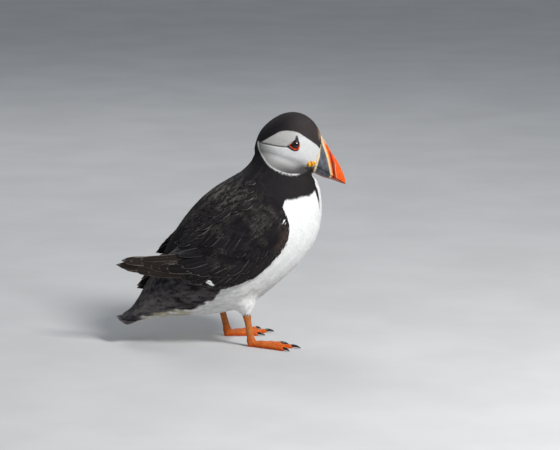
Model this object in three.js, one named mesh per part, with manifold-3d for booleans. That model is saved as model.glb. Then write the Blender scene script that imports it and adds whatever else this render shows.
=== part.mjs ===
// An Atlantic puffin standing at life size: millimetres, +X to the bill, +Y to the bird's left, +Z up.
// The origin is on the floor, under the middle of the bird's bounding box.
import * as THREE from "three";
import { mergeVertices } from "three/addons/utils/BufferGeometryUtils.js";
import Module from "manifold-3d";

const wasm = await Module();
wasm.setup();

// Driving dimensions.
const GAP = 0.3; // clearance between pieces that touch
const BILL_TIP_X = 103.6; // foremost point
const TAIL_TIP_X = -103.6; // rearmost point
const WING_THICKNESS = 5.5; // folded wing over the flank, away from its edge
const WING_EDGE_THICKNESS = 2.4;
const WING_EDGE_ROUNDING = 12; // the wing reaches its full thickness this far inside its edge
const HEAD_CENTRE = [51.8, 178]; // x, z of the middle of the skull
const HEAD_PITCH = THREE.MathUtils.degToRad(15); // the face points this far below level
const CHEEK_HALF_WIDTH = 20.8;
const EYE_RADIUS = 5;
const EYE_PLACE = [58.2, 16.5, 181.9]; // centre of the left eyeball
const GAPE_RADIUS = [5, 3, 3.1]; // wrinkled pad at the corner of the mouth: along, across, up
const GAPE_PLACE = [71.8, 10.4, 164.3];
const GAPE_TURN = THREE.MathUtils.degToRad(30); // it follows the head's narrowing to the bill
const TARSUS_RADIUS = [2.5, 3.3]; // half thickness across and along
const WEB_THICKNESS = 1.2;
const JOINT_HEIGHT = 4; // middle of the joint where the toes meet, above the floor
const FOOT_CUT_HEIGHT = 8.5; // where the leg ends and the foot begins

// The body from the tail tip to the top of the neck: [back x, z], [belly x, z], half width.
const BODY_STATIONS = [
  { top: [TAIL_TIP_X, 21.4], bottom: [-102.6, 18.4], width: 8 },
  { top: [-98.5, 27.4], bottom: [-96, 16.6], width: 15.5 },
  { top: [-90.5, 34.5], bottom: [-86, 16.6], width: 19 },
  { top: [-81, 46], bottom: [-72, 20.5], width: 22.5 },
  { top: [-70, 63], bottom: [-55, 23.2], width: 28 },
  { top: [-56, 87], bottom: [-34, 24.6], width: 36 },
  { top: [-41, 111], bottom: [-9, 26.5], width: 43 },
  { top: [-23.5, 131], bottom: [17, 34], width: 47 },
  { top: [-3, 146.5], bottom: [43, 54], width: 48 },
  { top: [10.5, 156.5], bottom: [65, 75.5], width: 44.5 },
  { top: [17.5, 163.5], bottom: [79, 98], width: 36.5 },
  { top: [21, 170], bottom: [82.3, 124], width: 28.5 },
  { top: [25, 178], bottom: [78, 147], width: 22 },
  { top: [36, 184], bottom: [66, 160], width: 13 },
];

// The head from nape to face, along its own level axis: distance forward, crown, chin, half width.
const HEAD_STATIONS = [
  { at: -29, crown: 0, chin: -9, width: 5 },
  { at: -27.6, crown: 7.5, chin: -13, width: 9.5 },
  { at: -23, crown: 16.5, chin: -17, width: 14.5 },
  { at: -14, crown: 26.5, chin: -20, width: 18.8 },
  { at: -3, crown: 31.8, chin: -21.5, width: CHEEK_HALF_WIDTH },
  { at: 8, crown: 31.6, chin: -21.5, width: CHEEK_HALF_WIDTH - 0.4 },
  { at: 17, crown: 27.4, chin: -20.5, width: 17 },
  { at: 24, crown: 20.6, chin: -18.5, width: 12 },
  { at: 28.2, crown: 14.6, chin: -16.5, width: 8.2 },
];

// Upper and lower mandible meet at the line of the mouth: culmen, mouth and keel points in x, z.
const BILL_STATIONS = [
  { culmen: [77, 190], mouth: [70.5, 164.8], keel: [70.5, 156.5], width: 7.2 },
  { culmen: [83.2, 185.2], mouth: [77.5, 160.8], keel: [76, 153.6], width: 6.8 },
  { culmen: [89.8, 174.2], mouth: [84, 156.8], keel: [82.6, 150.4], width: 5.7 },
  { culmen: [96.4, 163.8], mouth: [91, 152.2], keel: [89.6, 148.4], width: 4.4 },
  { culmen: [101, 154.6], mouth: [97.2, 148.2], keel: [96, 146], width: 2.9 },
  { culmen: [BILL_TIP_X, 146], mouth: [102.4, 144.2], keel: [101, 144.2], width: 1.2 },
];

// Legs: side is +1 on the bird's left. Ankle and toe joint in x, y; yaw turns the foot outwards.
const LEGS = {
  left: { side: 1, thigh: [-17, 20, 44], ankle: [-9.5, 22, 29], joint: [-3, 23], yaw: 22 },
  right: { side: -1, thigh: [9, 21, 44], ankle: [14.5, 23, 29], joint: [19, 24], yaw: 13 },
};

// Toes of one foot, counted from the inside: yaw from the foot's own line, length and claw length.
const TOES = [
  { yaw: 24, length: 27, claw: 7 },
  { yaw: 1, length: 37, claw: 8 },
  { yaw: -21, length: 35, claw: 6 },
];

// The folded wing over the flank, seen from the side: x, z round its edge, from the wrist down.
const WING_EDGE = [
  [53.6, 113], [52.6, 103], [46.5, 91], [37.5, 80], [25, 69.4], [11.5, 61.8], [-2, 57.6], [-12, 56.6],
  [-25, 58.8], [-38, 60.8], [-48, 64], [-51, 75], [-48, 87], [-35, 101], [-14, 119], [10, 133],
  [34, 138.5], [48.5, 130],
];

// The bundle of long wing feathers behind it: upper and lower edge, sideways place and half width.
// The right one reaches out level; the left one lies down along the rump.
const PRIMARIES = {
  right: [
    { top: [-14, 94], bottom: [-14, 62], out: 44.5, width: 3 },
    { top: [-34, 91], bottom: [-34, 59.6], out: 41.5, width: 5 },
    { top: [-52, 86.5], bottom: [-52, 61], out: 36, width: 4.2 },
    { top: [-70, 83.5], bottom: [-70, 63], out: 31, width: 2.8 },
    { top: [-88, 82], bottom: [-88, 65.8], out: 26.5, width: 1.8 },
    { top: [-98, 79.5], bottom: [-98, 69.4], out: 24, width: 1.2 },
    { top: [TAIL_TIP_X, 75.4], bottom: [TAIL_TIP_X, 72.4], out: 23, width: 0.8 },
  ],
  left: [
    { top: [-12, 110], bottom: [-8, 66], out: 43, width: 3 },
    { top: [-36, 104], bottom: [-27, 60], out: 40.5, width: 5 },
    { top: [-55, 92], bottom: [-46, 56], out: 36, width: 4.2 },
    { top: [-69, 78], bottom: [-60, 50], out: 30.5, width: 2.8 },
    { top: [-80, 62], bottom: [-73, 44], out: 24, width: 1.8 },
    { top: [-86, 52], bottom: [-81, 41], out: 20.5, width: 1.2 },
    { top: [-88.5, 45], bottom: [-87, 41.5], out: 19.5, width: 0.8 },
  ],
};

const MATERIALS = {
  black: finish(0x1d1a1b, 0.7),
  white: finish(0xf2f1ec, 0.8),
  face: finish(0xc9c8c4, 0.8),
  orange: finish(0xe8631c, 0.5),
  bill: finish(0xd8481e, 0.4),
  gape: finish(0xe6a51d, 0.5),
  eye: finish(0x1a1210, 0.1),
};

function finish(color, roughness) {
  return new THREE.MeshStandardMaterial({ color, roughness, metalness: 0 });
}

// A closed mesh as a solid whose faces point out, whichever way round they came.
function solidOf(geometry) {
  const bare = geometry.clone();
  bare.deleteAttribute("normal");
  bare.deleteAttribute("uv");
  const merged = mergeVertices(bare, 1e-3);
  const points = merged.getAttribute("position");
  const corners = [0, 1, 2].map(() => new THREE.Vector3());
  const faces = [];
  let volume = 0;
  for (let i = 0; i < merged.index.count; i += 3) {
    const face = [0, 1, 2].map((k) => merged.index.getX(i + k));
    if (new Set(face).size < 3) continue;
    corners.forEach((corner, k) => corner.fromBufferAttribute(points, face[k]));
    volume += corners[0].dot(corners[1].clone().cross(corners[2]));
    faces.push(face);
  }
  const triVerts = new Uint32Array(faces.flatMap((f) => (volume < 0 ? [f[0], f[2], f[1]] : f)));
  const vertProperties = new Float32Array(points.array);
  return new wasm.Manifold(new wasm.Mesh({ numProp: 3, vertProperties, triVerts }));
}

function geometryOf(solid) {
  const { vertProperties, triVerts } = solid.getMesh();
  const geometry = new THREE.BufferGeometry();
  geometry.setAttribute("position", new THREE.BufferAttribute(vertProperties, 3));
  geometry.setIndex(new THREE.BufferAttribute(triVerts, 1));
  geometry.computeVertexNormals();
  return geometry;
}

// The solid with its surface moved out by a distance.
function grown(solid, distance) {
  const geometry = geometryOf(solid);
  const points = geometry.getAttribute("position");
  const normals = geometry.getAttribute("normal");
  const point = new THREE.Vector3();
  const normal = new THREE.Vector3();
  for (let i = 0; i < points.count; i++) {
    normal.fromBufferAttribute(normals, i);
    point.fromBufferAttribute(points, i).addScaledVector(normal, distance);
    points.setXYZ(i, point.x, point.y, point.z);
  }
  return solidOf(geometry);
}

function clearOf(solid, ...others) {
  return others.reduce((rest, other) => rest.subtract(grown(other, GAP)).subtract(other), solid);
}

// A round body swept through stations, each with the two ends of its section and a half width.
// The waist is the height of its widest place. A power under 2 gives the section a keel, and over 2
// a fuller side. Extra is a function of a point, and adds to the half width there.
function spindle(stations, { around, along, power = 2, waist = 0.5, extra = () => 0 }) {
  const curve = (pick) => new THREE.CatmullRomCurve3(stations.map(pick));
  const ends = (end) => curve((s) => new THREE.Vector3(s[end][0], s.out ?? 0, s[end][1]));
  const top = ends("top");
  const bottom = ends("bottom");
  const width = curve((s) => new THREE.Vector3(s.width, 0, 0));
  const geometry = new THREE.SphereGeometry(1, around, along);
  const points = geometry.getAttribute("position");
  const uv = geometry.getAttribute("uv");
  const rounded = (x) => Math.sign(x) * Math.abs(x) ** (2 / power);
  for (let i = 0; i < points.count; i++) {
    const row = Math.round((1 - uv.getY(i)) * along);
    const t = THREE.MathUtils.clamp((row - 1) / (along - 2), 0, 1);
    const angle = 2 * Math.PI * uv.getX(i);
    const upper = top.getPoint(t);
    const lower = bottom.getPoint(t);
    const point = lower.clone().lerp(upper, waist);
    if (row > 0 && row < along) {
      const up = rounded(Math.cos(angle));
      point.lerp(up > 0 ? upper : lower, Math.abs(up));
      point.y += (width.getPoint(t).x + extra(point)) * rounded(Math.sin(angle));
    }
    points.setXYZ(i, point.x, point.y, point.z);
  }
  return geometry;
}

// Everything on one side of a plane through a point, as a large block.
function blockBeyond(point, direction) {
  const size = 600;
  const block = new THREE.BoxGeometry(size, size, size).translate(0, 0, size / 2);
  const turn = new THREE.Quaternion();
  turn.setFromUnitVectors(new THREE.Vector3(0, 0, 1), direction.clone().normalize());
  block.applyQuaternion(turn).translate(point.x, point.y, point.z);
  return solidOf(block);
}

// Cuts a solid in two by a thin slot, and gives the part ahead of the slot and the part behind it.
function partedAt(solid, point, direction) {
  const ahead = direction.clone().normalize();
  const half = (sign) => {
    const side = ahead.clone().multiplyScalar(sign);
    return solid.intersect(blockBeyond(point.clone().addScaledVector(side, GAP / 2), side));
  };
  return [half(1), half(-1)];
}

function bodyShape(extra) {
  return solidOf(spindle(BODY_STATIONS, { around: 28, along: 30, power: 2.15, waist: 0.48, extra }));
}

function headShape() {
  const stations = HEAD_STATIONS.map((s) => ({
    top: [s.at, s.crown],
    bottom: [s.at, s.chin],
    width: s.width,
  }));
  const head = spindle(stations, { around: 24, along: 18, power: 2.1, waist: 0.42 });
  head.rotateY(HEAD_PITCH).translate(HEAD_CENTRE[0], 0, HEAD_CENTRE[1]);
  return solidOf(head);
}

function eyeShape(side) {
  const [x, y, z] = EYE_PLACE;
  return solidOf(new THREE.SphereGeometry(EYE_RADIUS, 14, 8).translate(x, side * y, z));
}

function upperBill() {
  const stations = BILL_STATIONS.map((s) => ({ top: s.culmen, bottom: s.mouth, width: s.width }));
  return solidOf(spindle(stations, { around: 14, along: 12, power: 1.7, waist: 0 }));
}

function lowerBill() {
  const stations = BILL_STATIONS.map((s) => ({
    top: [s.mouth[0] - GAP, s.mouth[1] - GAP],
    bottom: s.keel,
    width: s.width - GAP,
  }));
  return solidOf(spindle(stations, { around: 14, along: 12, power: 1.7, waist: 1 }));
}

// The fold of bare skin at the corner of the mouth.
function gapeShape(side) {
  const pad = new THREE.SphereGeometry(1, 12, 8).scale(...GAPE_RADIUS);
  pad.rotateZ(-side * GAPE_TURN).translate(GAPE_PLACE[0], side * GAPE_PLACE[1], GAPE_PLACE[2]);
  return solidOf(pad);
}

function wingShape(name, side, body) {
  const rim = new THREE.CatmullRomCurve3(WING_EDGE.map(([x, z]) => new THREE.Vector3(x, 0, z)), true);
  const edge = rim.getPoints(54).slice(1);
  const outline = new THREE.Shape(edge.map((p) => new THREE.Vector2(p.x, p.z)));
  const slab = new THREE.ExtrudeGeometry(outline, { depth: 80, bevelEnabled: false });
  slab.rotateX(Math.PI / 2).translate(0, side > 0 ? 80 : 0, 0);
  const thickness = (point) => {
    const inside = Math.min(...edge.map((p) => Math.hypot(p.x - point.x, p.z - point.z)));
    const share = THREE.MathUtils.smoothstep(inside, 0, WING_EDGE_ROUNDING);
    return THREE.MathUtils.lerp(WING_EDGE_THICKNESS, WING_THICKNESS, share);
  };
  const cover = solidOf(slab).intersect(bodyShape(thickness));
  const stations = PRIMARIES[name].map((s) => ({ ...s, out: side * s.out }));
  const primaries = solidOf(spindle(stations, { around: 12, along: 14, power: 2.6 }));
  return clearOf(cover.add(primaries), body);
}

function thighShape({ side, thigh, ankle }) {
  const [x0, y0, z0] = thigh;
  const [x1, y1, z1] = ankle;
  const station = (t, radius, width) => {
    const x = x0 + (x1 - x0) * t;
    const z = z0 + (z1 - z0) * t;
    return { top: [x - radius, z], bottom: [x + radius, z], out: side * (y0 + (y1 - y0) * t), width };
  };
  const stations = [
    station(-0.2, 6, 5),
    station(0.2, 13, 10),
    station(0.7, 9.5, 7.5),
    station(1, 5.6, 5.2),
    station(1.15, 4.4, 3.6),
  ];
  return solidOf(spindle(stations, { around: 14, along: 10 }));
}

function toeShape({ length, claw }) {
  const station = (at, radius, lift = 0.85) => ({
    top: [at, radius * (1 + lift)],
    bottom: [at, radius * (lift - 1)],
    width: radius,
  });
  const toe = spindle(
    [station(-3, 2.6), station(0, 3.5), station(length * 0.3, 2.7), station(length * 0.62, 2.7),
      station(length * 0.95, 2), station(length + 1, 1, 1.6)],
    { around: 8, along: 7 },
  );
  const nail = spindle(
    [station(length - 2.5, 1, 1.8), station(length, 1.5, 1.4), station(length + claw * 0.55, 1.05, 1.5),
      station(length + claw, 0.4, 1)],
    { around: 6, along: 5 },
  );
  return solidOf(toe).add(solidOf(nail));
}

function turned(solid, yaw) {
  return solidOf(geometryOf(solid).rotateZ(yaw));
}

// The skin between the toes, with a hollow front edge between each two.
function webShape() {
  const reach = (toe, share) => {
    const yaw = THREE.MathUtils.degToRad(toe.yaw);
    return [toe.length * share * Math.cos(yaw), toe.length * share * Math.sin(yaw)];
  };
  const outline = new THREE.Shape();
  outline.moveTo(-2, 1.5);
  outline.lineTo(...reach(TOES[0], 0.97));
  TOES.slice(1).forEach((toe, i) => {
    const [x0, y0] = reach(TOES[i], 0.86);
    const [x1, y1] = reach(toe, 0.86);
    outline.quadraticCurveTo((x0 + x1) / 2, (y0 + y1) / 2, ...reach(toe, 0.97));
  });
  outline.lineTo(-2, -1.5);
  const web = new THREE.ExtrudeGeometry(outline, {
    depth: WEB_THICKNESS,
    bevelEnabled: false,
    curveSegments: 6,
  });
  return solidOf(web);
}

// One leg below the feathers, whole: toes, web and tarsus, flat where it stands.
function standingLeg({ side, ankle, joint, yaw }) {
  const foot = TOES.reduce(
    (rest, toe) => rest.add(turned(toeShape(toe), THREE.MathUtils.degToRad(toe.yaw))),
    webShape(),
  );
  const laid = geometryOf(foot).scale(1, -side, 1).rotateZ(side * THREE.MathUtils.degToRad(yaw));
  laid.translate(joint[0], side * joint[1], 0);
  const [x1, y1, z1] = ankle;
  const [across, along] = TARSUS_RADIUS;
  const station = (t, size) => {
    const x = joint[0] + (x1 - joint[0]) * t;
    const z = JOINT_HEIGHT + (z1 - JOINT_HEIGHT) * t;
    const out = side * (joint[1] + (y1 - joint[1]) * t);
    return { top: [x - along * size, z], bottom: [x + along * size, z], out, width: across * size };
  };
  const stations = [
    station(-0.14, 1), station(0, 1.3), station(0.2, 1), station(0.75, 0.95), station(1, 1.25),
    station(1.15, 0.9),
  ];
  const tarsus = solidOf(spindle(stations, { around: 12, along: 10 }));
  const floor = blockBeyond(new THREE.Vector3(), new THREE.Vector3(0, 0, -1));
  return solidOf(laid).add(tarsus).subtract(floor);
}

function addMesh(group, name, solid, material) {
  const mesh = new THREE.Mesh(geometryOf(solid), material);
  mesh.name = name;
  group.add(mesh);
}

function buildPuffin() {
  const puffin = new THREE.Group();
  const body = bodyShape();
  const skull = headShape();
  const bills = [upperBill(), lowerBill()];
  const whole = body.add(skull);

  const nape = new THREE.Vector3(17.5, 0, 167.5);
  const throat = new THREE.Vector3(84, 0, 149.5);
  const shoulder = new THREE.Vector3(9, 0, 156.5);
  const crop = new THREE.Vector3(84, 0, 112);
  const rump = new THREE.Vector3(-81, 0, 46);
  const vent = new THREE.Vector3(-74, 0, 20);
  const ahead = (a, b) => new THREE.Vector3(a.z - b.z, 0, b.x - a.x);
  const [headWhole, belowHead] = partedAt(whole, nape, ahead(nape, throat));
  const [neck, belowNeck] = partedAt(belowHead, shoulder, ahead(shoulder, crop));
  const [trunk, tail] = partedAt(belowNeck, rump, ahead(rump, vent));

  let head = clearOf(headWhole, ...bills);
  for (const [name, side] of [["left", 1], ["right", -1]]) {
    const eye = eyeShape(side);
    const gape = clearOf(gapeShape(side), headWhole, ...bills);
    head = clearOf(head, eye);
    addMesh(puffin, `eye_${name}`, eye, MATERIALS.eye);
    addMesh(puffin, `gape_${name}`, gape, MATERIALS.gape);
    addMesh(puffin, `wing_${name}`, wingShape(name, side, body), MATERIALS.black);

    const leg = LEGS[name];
    const thigh = clearOf(thighShape(leg), trunk);
    const cut = new THREE.Vector3(0, 0, FOOT_CUT_HEIGHT);
    const [shank, foot] = partedAt(standingLeg(leg), cut, new THREE.Vector3(0, 0, 1));
    addMesh(puffin, `thigh_${name}`, thigh, MATERIALS.white);
    addMesh(puffin, `leg_${name}`, clearOf(shank, thigh, trunk), MATERIALS.orange);
    addMesh(puffin, `foot_${name}`, foot, MATERIALS.orange);
  }
  addMesh(puffin, "head", head, MATERIALS.face);
  addMesh(puffin, "neck", neck, MATERIALS.black);
  addMesh(puffin, "trunk", trunk, MATERIALS.white);
  addMesh(puffin, "tail", tail, MATERIALS.black);
  addMesh(puffin, "bill_upper", bills[0], MATERIALS.bill);
  addMesh(puffin, "bill_lower", bills[1], MATERIALS.bill);
  return puffin;
}

export default buildPuffin();
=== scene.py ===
"""An Atlantic puffin standing at life size: one skin under a coat of solid feathers.

Lengths are millimetres until a piece is finished, when its mesh is scaled to metres.
+X is the way the bill points, +Y the bird's left and +Z up. The floor is at height 0.
Side is +1 for the bird's left and -1 for its right.
"""

import math

import bmesh
import bpy
import numpy as np
from mathutils import Matrix, Vector, kdtree
from mathutils.bvhtree import BVHTree


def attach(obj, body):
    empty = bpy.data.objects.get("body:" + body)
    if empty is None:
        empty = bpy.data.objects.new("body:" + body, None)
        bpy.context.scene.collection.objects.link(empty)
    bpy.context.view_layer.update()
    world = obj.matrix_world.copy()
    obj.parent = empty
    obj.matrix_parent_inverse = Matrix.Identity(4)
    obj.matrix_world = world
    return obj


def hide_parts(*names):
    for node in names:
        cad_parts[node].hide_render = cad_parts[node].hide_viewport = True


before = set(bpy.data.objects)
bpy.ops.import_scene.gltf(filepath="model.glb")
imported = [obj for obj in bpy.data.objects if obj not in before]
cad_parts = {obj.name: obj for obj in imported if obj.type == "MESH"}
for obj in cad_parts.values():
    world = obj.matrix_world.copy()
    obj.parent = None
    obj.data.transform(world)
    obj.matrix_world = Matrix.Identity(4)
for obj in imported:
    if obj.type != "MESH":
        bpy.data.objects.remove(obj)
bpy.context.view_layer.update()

MM = 0.001
SIDES = {"left": 1, "right": -1}
SEED = 20

# ---- Driving dimensions -------------------------------------------------------------------------

BODY_VOXEL = 1.3  # grain of the skin before the head is refined
FOOT_VOXEL = 0.54  # grain of the legs and feet
BACK_FILL = 2.2  # how far the lower back is swelled at its middle
# Height of the back above which the swelling lies, and of the middle of the tail: x, z.
BACK_LINE = [(-70, 80), (-50, 103), (-30, 124), (-10, 140), (10, 151), (30, 163)]
TAIL_MIDDLE = [(-104, 20.3), (-78, 29.0)]
SEAM_COVER = 0.25  # the flesh is grown by this much so that its parts run together
WING_FLESH_END = -44  # behind this x the folded wing is feathers only
TAIL_FLESH_END = -98  # behind this x the tail is feathers only
# How deep the coat lies over the skin.
COAT_DEPTH = {"head": 0.75, "neck": 0.9, "trunk": 1.1, "tail": 1.3, "wing": 1.4, "thigh": 0.9}

# The line down the middle of the body that the plumage follows, from the bill to the tail: x, z.
SPINE = [(88, 174), (62, 183), (40, 172), (33, 145), (18, 110), (-15, 78), (-55, 50), (-104, 20)]

# Pale patch of the cheek, seen from the side: x, z.
FACE_PATCH = [
    (24.8, 183.5), (28.5, 184.2), (33.9, 187.6), (38.5, 190.4), (45, 193.9), (51.5, 194.6),
    (60, 193.2), (65.5, 189.8), (70.8, 186), (75.2, 182.4), (78.5, 179), (81, 174), (81, 168),
    (79, 162.5), (74, 159.5), (68, 157), (62, 155.4), (51.4, 156.2), (42.8, 159.2), (35.2, 163.3),
    (29.3, 170.4), (25.6, 177.2),
]
# The furrow behind the eye, seen from the side: x, z.
FURROW = [(53, 180.6), (48, 180.5), (43.8, 180.9), (37.4, 181.8), (30.9, 182.7), (26.5, 183.6)]
FURROW_DEPTH = 0.8
FURROW_WIDTH = 0.8

# Where the white of the flank ends under the wing and along the rump: x, z.
WHITE_EDGE = [
    (49, 134), (44, 118), (34, 95), (18, 76), (4, 63), (-7, 57), (-11.5, 51), (-14, 45), (-22, 41.5),
    (-30, 38), (-39, 35.3), (-46, 33.4), (-56.4, 31.2), (-65.4, 30), (-75.7, 27), (-88, 20), (-104, 12),
]
WRIST_SPOT = (48.3, 117)  # middle of the white spot at the wrist of the wing: x, z
WRIST_SPOT_HALF = (2.0, 0.9)
# Where the long shoulder feathers end over the wing: x, z.
SCAPULAR_EDGE = [
    (47, 133), (38, 135), (28, 133), (14, 129), (4, 126), (-8, 121), (-20, 113.5), (-33, 103), (-42, 95),
    (-50, 88), (-59, 82),
]
# The fold across the wing, back from the wrist: x, z.
WING_FOLD = [
    (48, 117), (46.4, 115.6), (36, 111.5), (26.6, 107.5), (16, 102.5), (5, 99.4), (-15, 98.6), (-34, 100.5),
    (-40, 101),
]
STEP_DEPTH = 1.1  # of the wing under the shoulder feathers
FOLD_DEPTH = 1.7  # of the fold across the wing
# Where the black collar ends on the breast: distance from the middle line, height.
COLLAR_EDGE = [
    (0, 156), (5.4, 151), (9, 146.5), (12.5, 142.3), (18.3, 137.8), (24.7, 136.2), (31.6, 134.8), (40, 133.4),
]

# Eye.
EYE_CENTRE = (58.2, 16.5, 181.9)  # of the left one
EYE_RADIUS = 5.0
PUPIL_RADIUS = 1.5
SOCKET_RADIUS = 3.4
SOCKET_DEPTH = 1.6  # how far the skin sinks under the eye
BROW_SWELL = 0.35
CHEEK_SWELL = 0.35
# Outline of the bare red rim round the eye, pointed at the back and at the top: x, z.
EYE_RIM = [
    (53.0, 182.1), (54.4, 180.2), (56.2, 178.9), (58.4, 178.2), (60.4, 178.9), (61.6, 180.8), (61.7, 183.0),
    (60.9, 185.4), (59.6, 187.4), (58.3, 186.8), (56.9, 185.4), (55.2, 183.9),
]
# Bare dark ground under the eye's trim, free of feathers: x, z.
EYE_BARE = [
    (52.9, 182.1), (54.7, 179.9), (58.4, 178.0), (60.7, 178.7), (61.7, 181), (61.7, 183.2), (60.6, 186.6),
    (60.0, 189.5), (59.2, 189.5), (58.0, 186.9), (55.0, 183.9),
]
# The slate plate over the eye, from its base up, and the slate bar under it, from the back: two edges.
EYE_PLATE = [
    ((58.9, 185.3), (60.6, 185.1)), ((58.0, 186.2), (61.2, 186.0)), ((58.4, 187.6), (61.0, 187.4)),
    ((59.1, 189.4), (60.5, 189.3)), ((59.6, 190.9), (60.1, 190.8)),
]
EYE_BAR = [
    ((51.6, 182.4), (51.4, 181.7)), ((53.2, 181.0), (52.7, 179.8)), ((55.4, 179.2), (54.9, 177.9)),
    ((58.0, 178.0), (57.9, 176.8)), ((60.2, 178.2), (60.5, 177.2)), ((61.6, 179.4), (61.9, 178.9)),
]
RIM_RADIUS = 0.48  # of the rim over the eye
LOW_RIM_RADIUS = 0.82  # of the rim under it
TRIM_STAND = 0.55  # how far the trim stands over the skin, level with the feathers round it

# Bill: culmen, mouth and keel points in x, z, and half width.
BILL_STATIONS = [
    {"culmen": (77, 190), "mouth": (70.5, 164.8), "keel": (70.5, 156.5), "width": 7.2},
    {"culmen": (83.2, 185.2), "mouth": (77.5, 160.8), "keel": (76, 153.6), "width": 6.8},
    {"culmen": (89.8, 174.2), "mouth": (84, 156.8), "keel": (82.6, 150.4), "width": 5.7},
    {"culmen": (96.4, 163.8), "mouth": (91, 152.2), "keel": (89.6, 148.4), "width": 4.4},
    {"culmen": (100.9, 154.6), "mouth": (97.2, 148.2), "keel": (96, 146), "width": 2.9},
    {"culmen": (103.0, 148.4), "mouth": (100.6, 145.9), "keel": (99.2, 144.9), "width": 1.8},
    {"culmen": (103.5, 144.6), "mouth": (102.7, 143.8), "keel": (101.2, 144.4), "width": 0.6},
]
BILL_AROUND = 264  # faces round each half of the bill
BILL_ALONG = 180
CERE_OVERLAP = 0.7  # feathers still grow this far in front of the cere's line
MOUTH_GAP = 0.3  # how far the lower half stands clear of the upper one, and how much narrower it is
# Lines across the bill, from the keel up: x, z.
CERE_LINE = [(72.5, 152), (74.8, 156.4), (76.6, 162.5), (78.6, 170), (79.2, 178.4), (80.8, 186), (82.5, 192)]
CREAM_LINE = [
    (87.6, 146), (90.6, 152.8), (89.5, 158.6), (87.8, 166.8), (85.6, 174.3), (83.4, 180.3), (82, 186),
]
FIRST_GROOVE = [(90.6, 146), (92.9, 152.4), (91.6, 161.7), (90.2, 169.2), (88.5, 176)]
SECOND_GROOVE = [(93.6, 144), (95.0, 150.8), (94.3, 156.3), (93.9, 161.5), (92.6, 168)]
MOUTH_LINE = [(70.5, 164.8), (77.5, 160.8), (84, 156.8), (91, 152.2), (97.2, 148.2), (103.6, 144.2)]

# The wrinkled pad at the corner of the mouth.
GAPE_PLACE = (71.8, 10.6, 164.3)  # of the left one
GAPE_RADII = (4.7, 3.0, 3.0)
GAPE_TURN = math.radians(30)
GAPE_FOLDS = 9.0  # how close its folds lie
GAPE_RELIEF = 0.24
GAPE_BARE = (72.4, 164.3)  # middle of the bare skin under the pad: x, z
GAPE_BARE_HALF = (4.1, 2.7)

# Feet. The places of the legs are x, distance from the middle line and height.
LEGS = {
    "left": {"thigh": (-17, 20, 44), "ankle": (-9.5, 22, 29), "joint": (-3, 23), "yaw": 22},
    "right": {"thigh": (9, 21, 44), "ankle": (14.5, 23, 29), "joint": (19, 24), "yaw": 13},
}
TOES = [
    {"yaw": 24, "length": 27, "claw": 7},
    {"yaw": 1, "length": 37, "claw": 8},
    {"yaw": -21, "length": 35, "claw": 6},
]
JOINT_HEIGHT = 4
SHANK_ALONG = 3.3  # half widths of the shank
SHANK_ACROSS = 2.5
SOLE_HEIGHT = 0.35  # what lies lower is set down on the floor
WEB_PUCKER = 0.22
CLAW_OVERLAP = 2.2  # how far a claw reaches back over its toe
BARE_HEIGHT = 33  # the feathers of the thigh end here
WEB_THICKNESS = 1.2

# Camera.
VIEW_TARGET = (44.55, 0, 106.5)
VIEW_DISTANCE = 2800
VIEW_ELEVATION = 10
LENS = 200
SENSOR_WIDTH = 36
CLIP_END = 20  # metres

# Colours, as linear light.
BLACK = np.array((0.0100, 0.0084, 0.0096))
CAP_BROWN = np.array((0.036, 0.029, 0.029))
SOOT = np.array((0.060, 0.054, 0.056))
WORN = np.array((0.150, 0.132, 0.118))
WING_BROWN = np.array((0.030, 0.0205, 0.0170))
WHITE = np.array((0.79, 0.787, 0.775))
PEARL = np.array((0.40, 0.395, 0.375))
CREAM = np.array((0.62, 0.54, 0.34))
SLATE = np.array((0.085, 0.090, 0.105))
BILL_CREAM = np.array((0.80, 0.62, 0.36))
BILL_ORANGE = np.array((0.72, 0.085, 0.003))
BILL_RED = np.array((0.50, 0.026, 0.002))
GROOVE_RED = np.array((0.20, 0.008, 0.002))
BILL_YELLOW = np.array((0.80, 0.33, 0.03))
FOREHEAD_PINK = np.array((0.42, 0.27, 0.17))
KEEL_PINK = np.array((0.33, 0.15, 0.11))
LEG_ORANGE = np.array((0.80, 0.110, 0.002))
LEG_BROWN = np.array((0.56, 0.185, 0.045))
GAPE_YELLOW = np.array((0.86, 0.44, 0.020))
GAPE_SHADE = np.array((0.46, 0.13, 0.010))
CLAW_BLACK = np.array((0.016, 0.013, 0.012))
LID_RED = np.array((0.56, 0.045, 0.006))
LID_SHADE = np.array((0.040, 0.008, 0.010))
PLATE_SLATE = np.array((0.040, 0.043, 0.054))
CERE_BROWN = np.array((0.30, 0.11, 0.035))
PUPIL_BLACK = np.array((0.002, 0.002, 0.002))
IRIS_BROWN = np.array((0.009, 0.0055, 0.0045))
IRIS_EDGE = np.array((0.004, 0.003, 0.003))


# ---- Numbers and curves -------------------------------------------------------------------------

def unit(vectors):
    return vectors / np.maximum(np.linalg.norm(vectors, axis=-1, keepdims=True), 1e-9)


def ease(low, high, value):
    """0 below low, 1 above high and smooth between. Low may be the larger."""
    share = np.clip((value - low) / (high - low), 0, 1)
    return share * share * (3 - 2 * share)


def blend(first, second, share):
    """Rows of colour between two colours, or between two lots of rows."""
    share = np.asarray(share)[..., None]
    return first * (1 - share) + second * share


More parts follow.
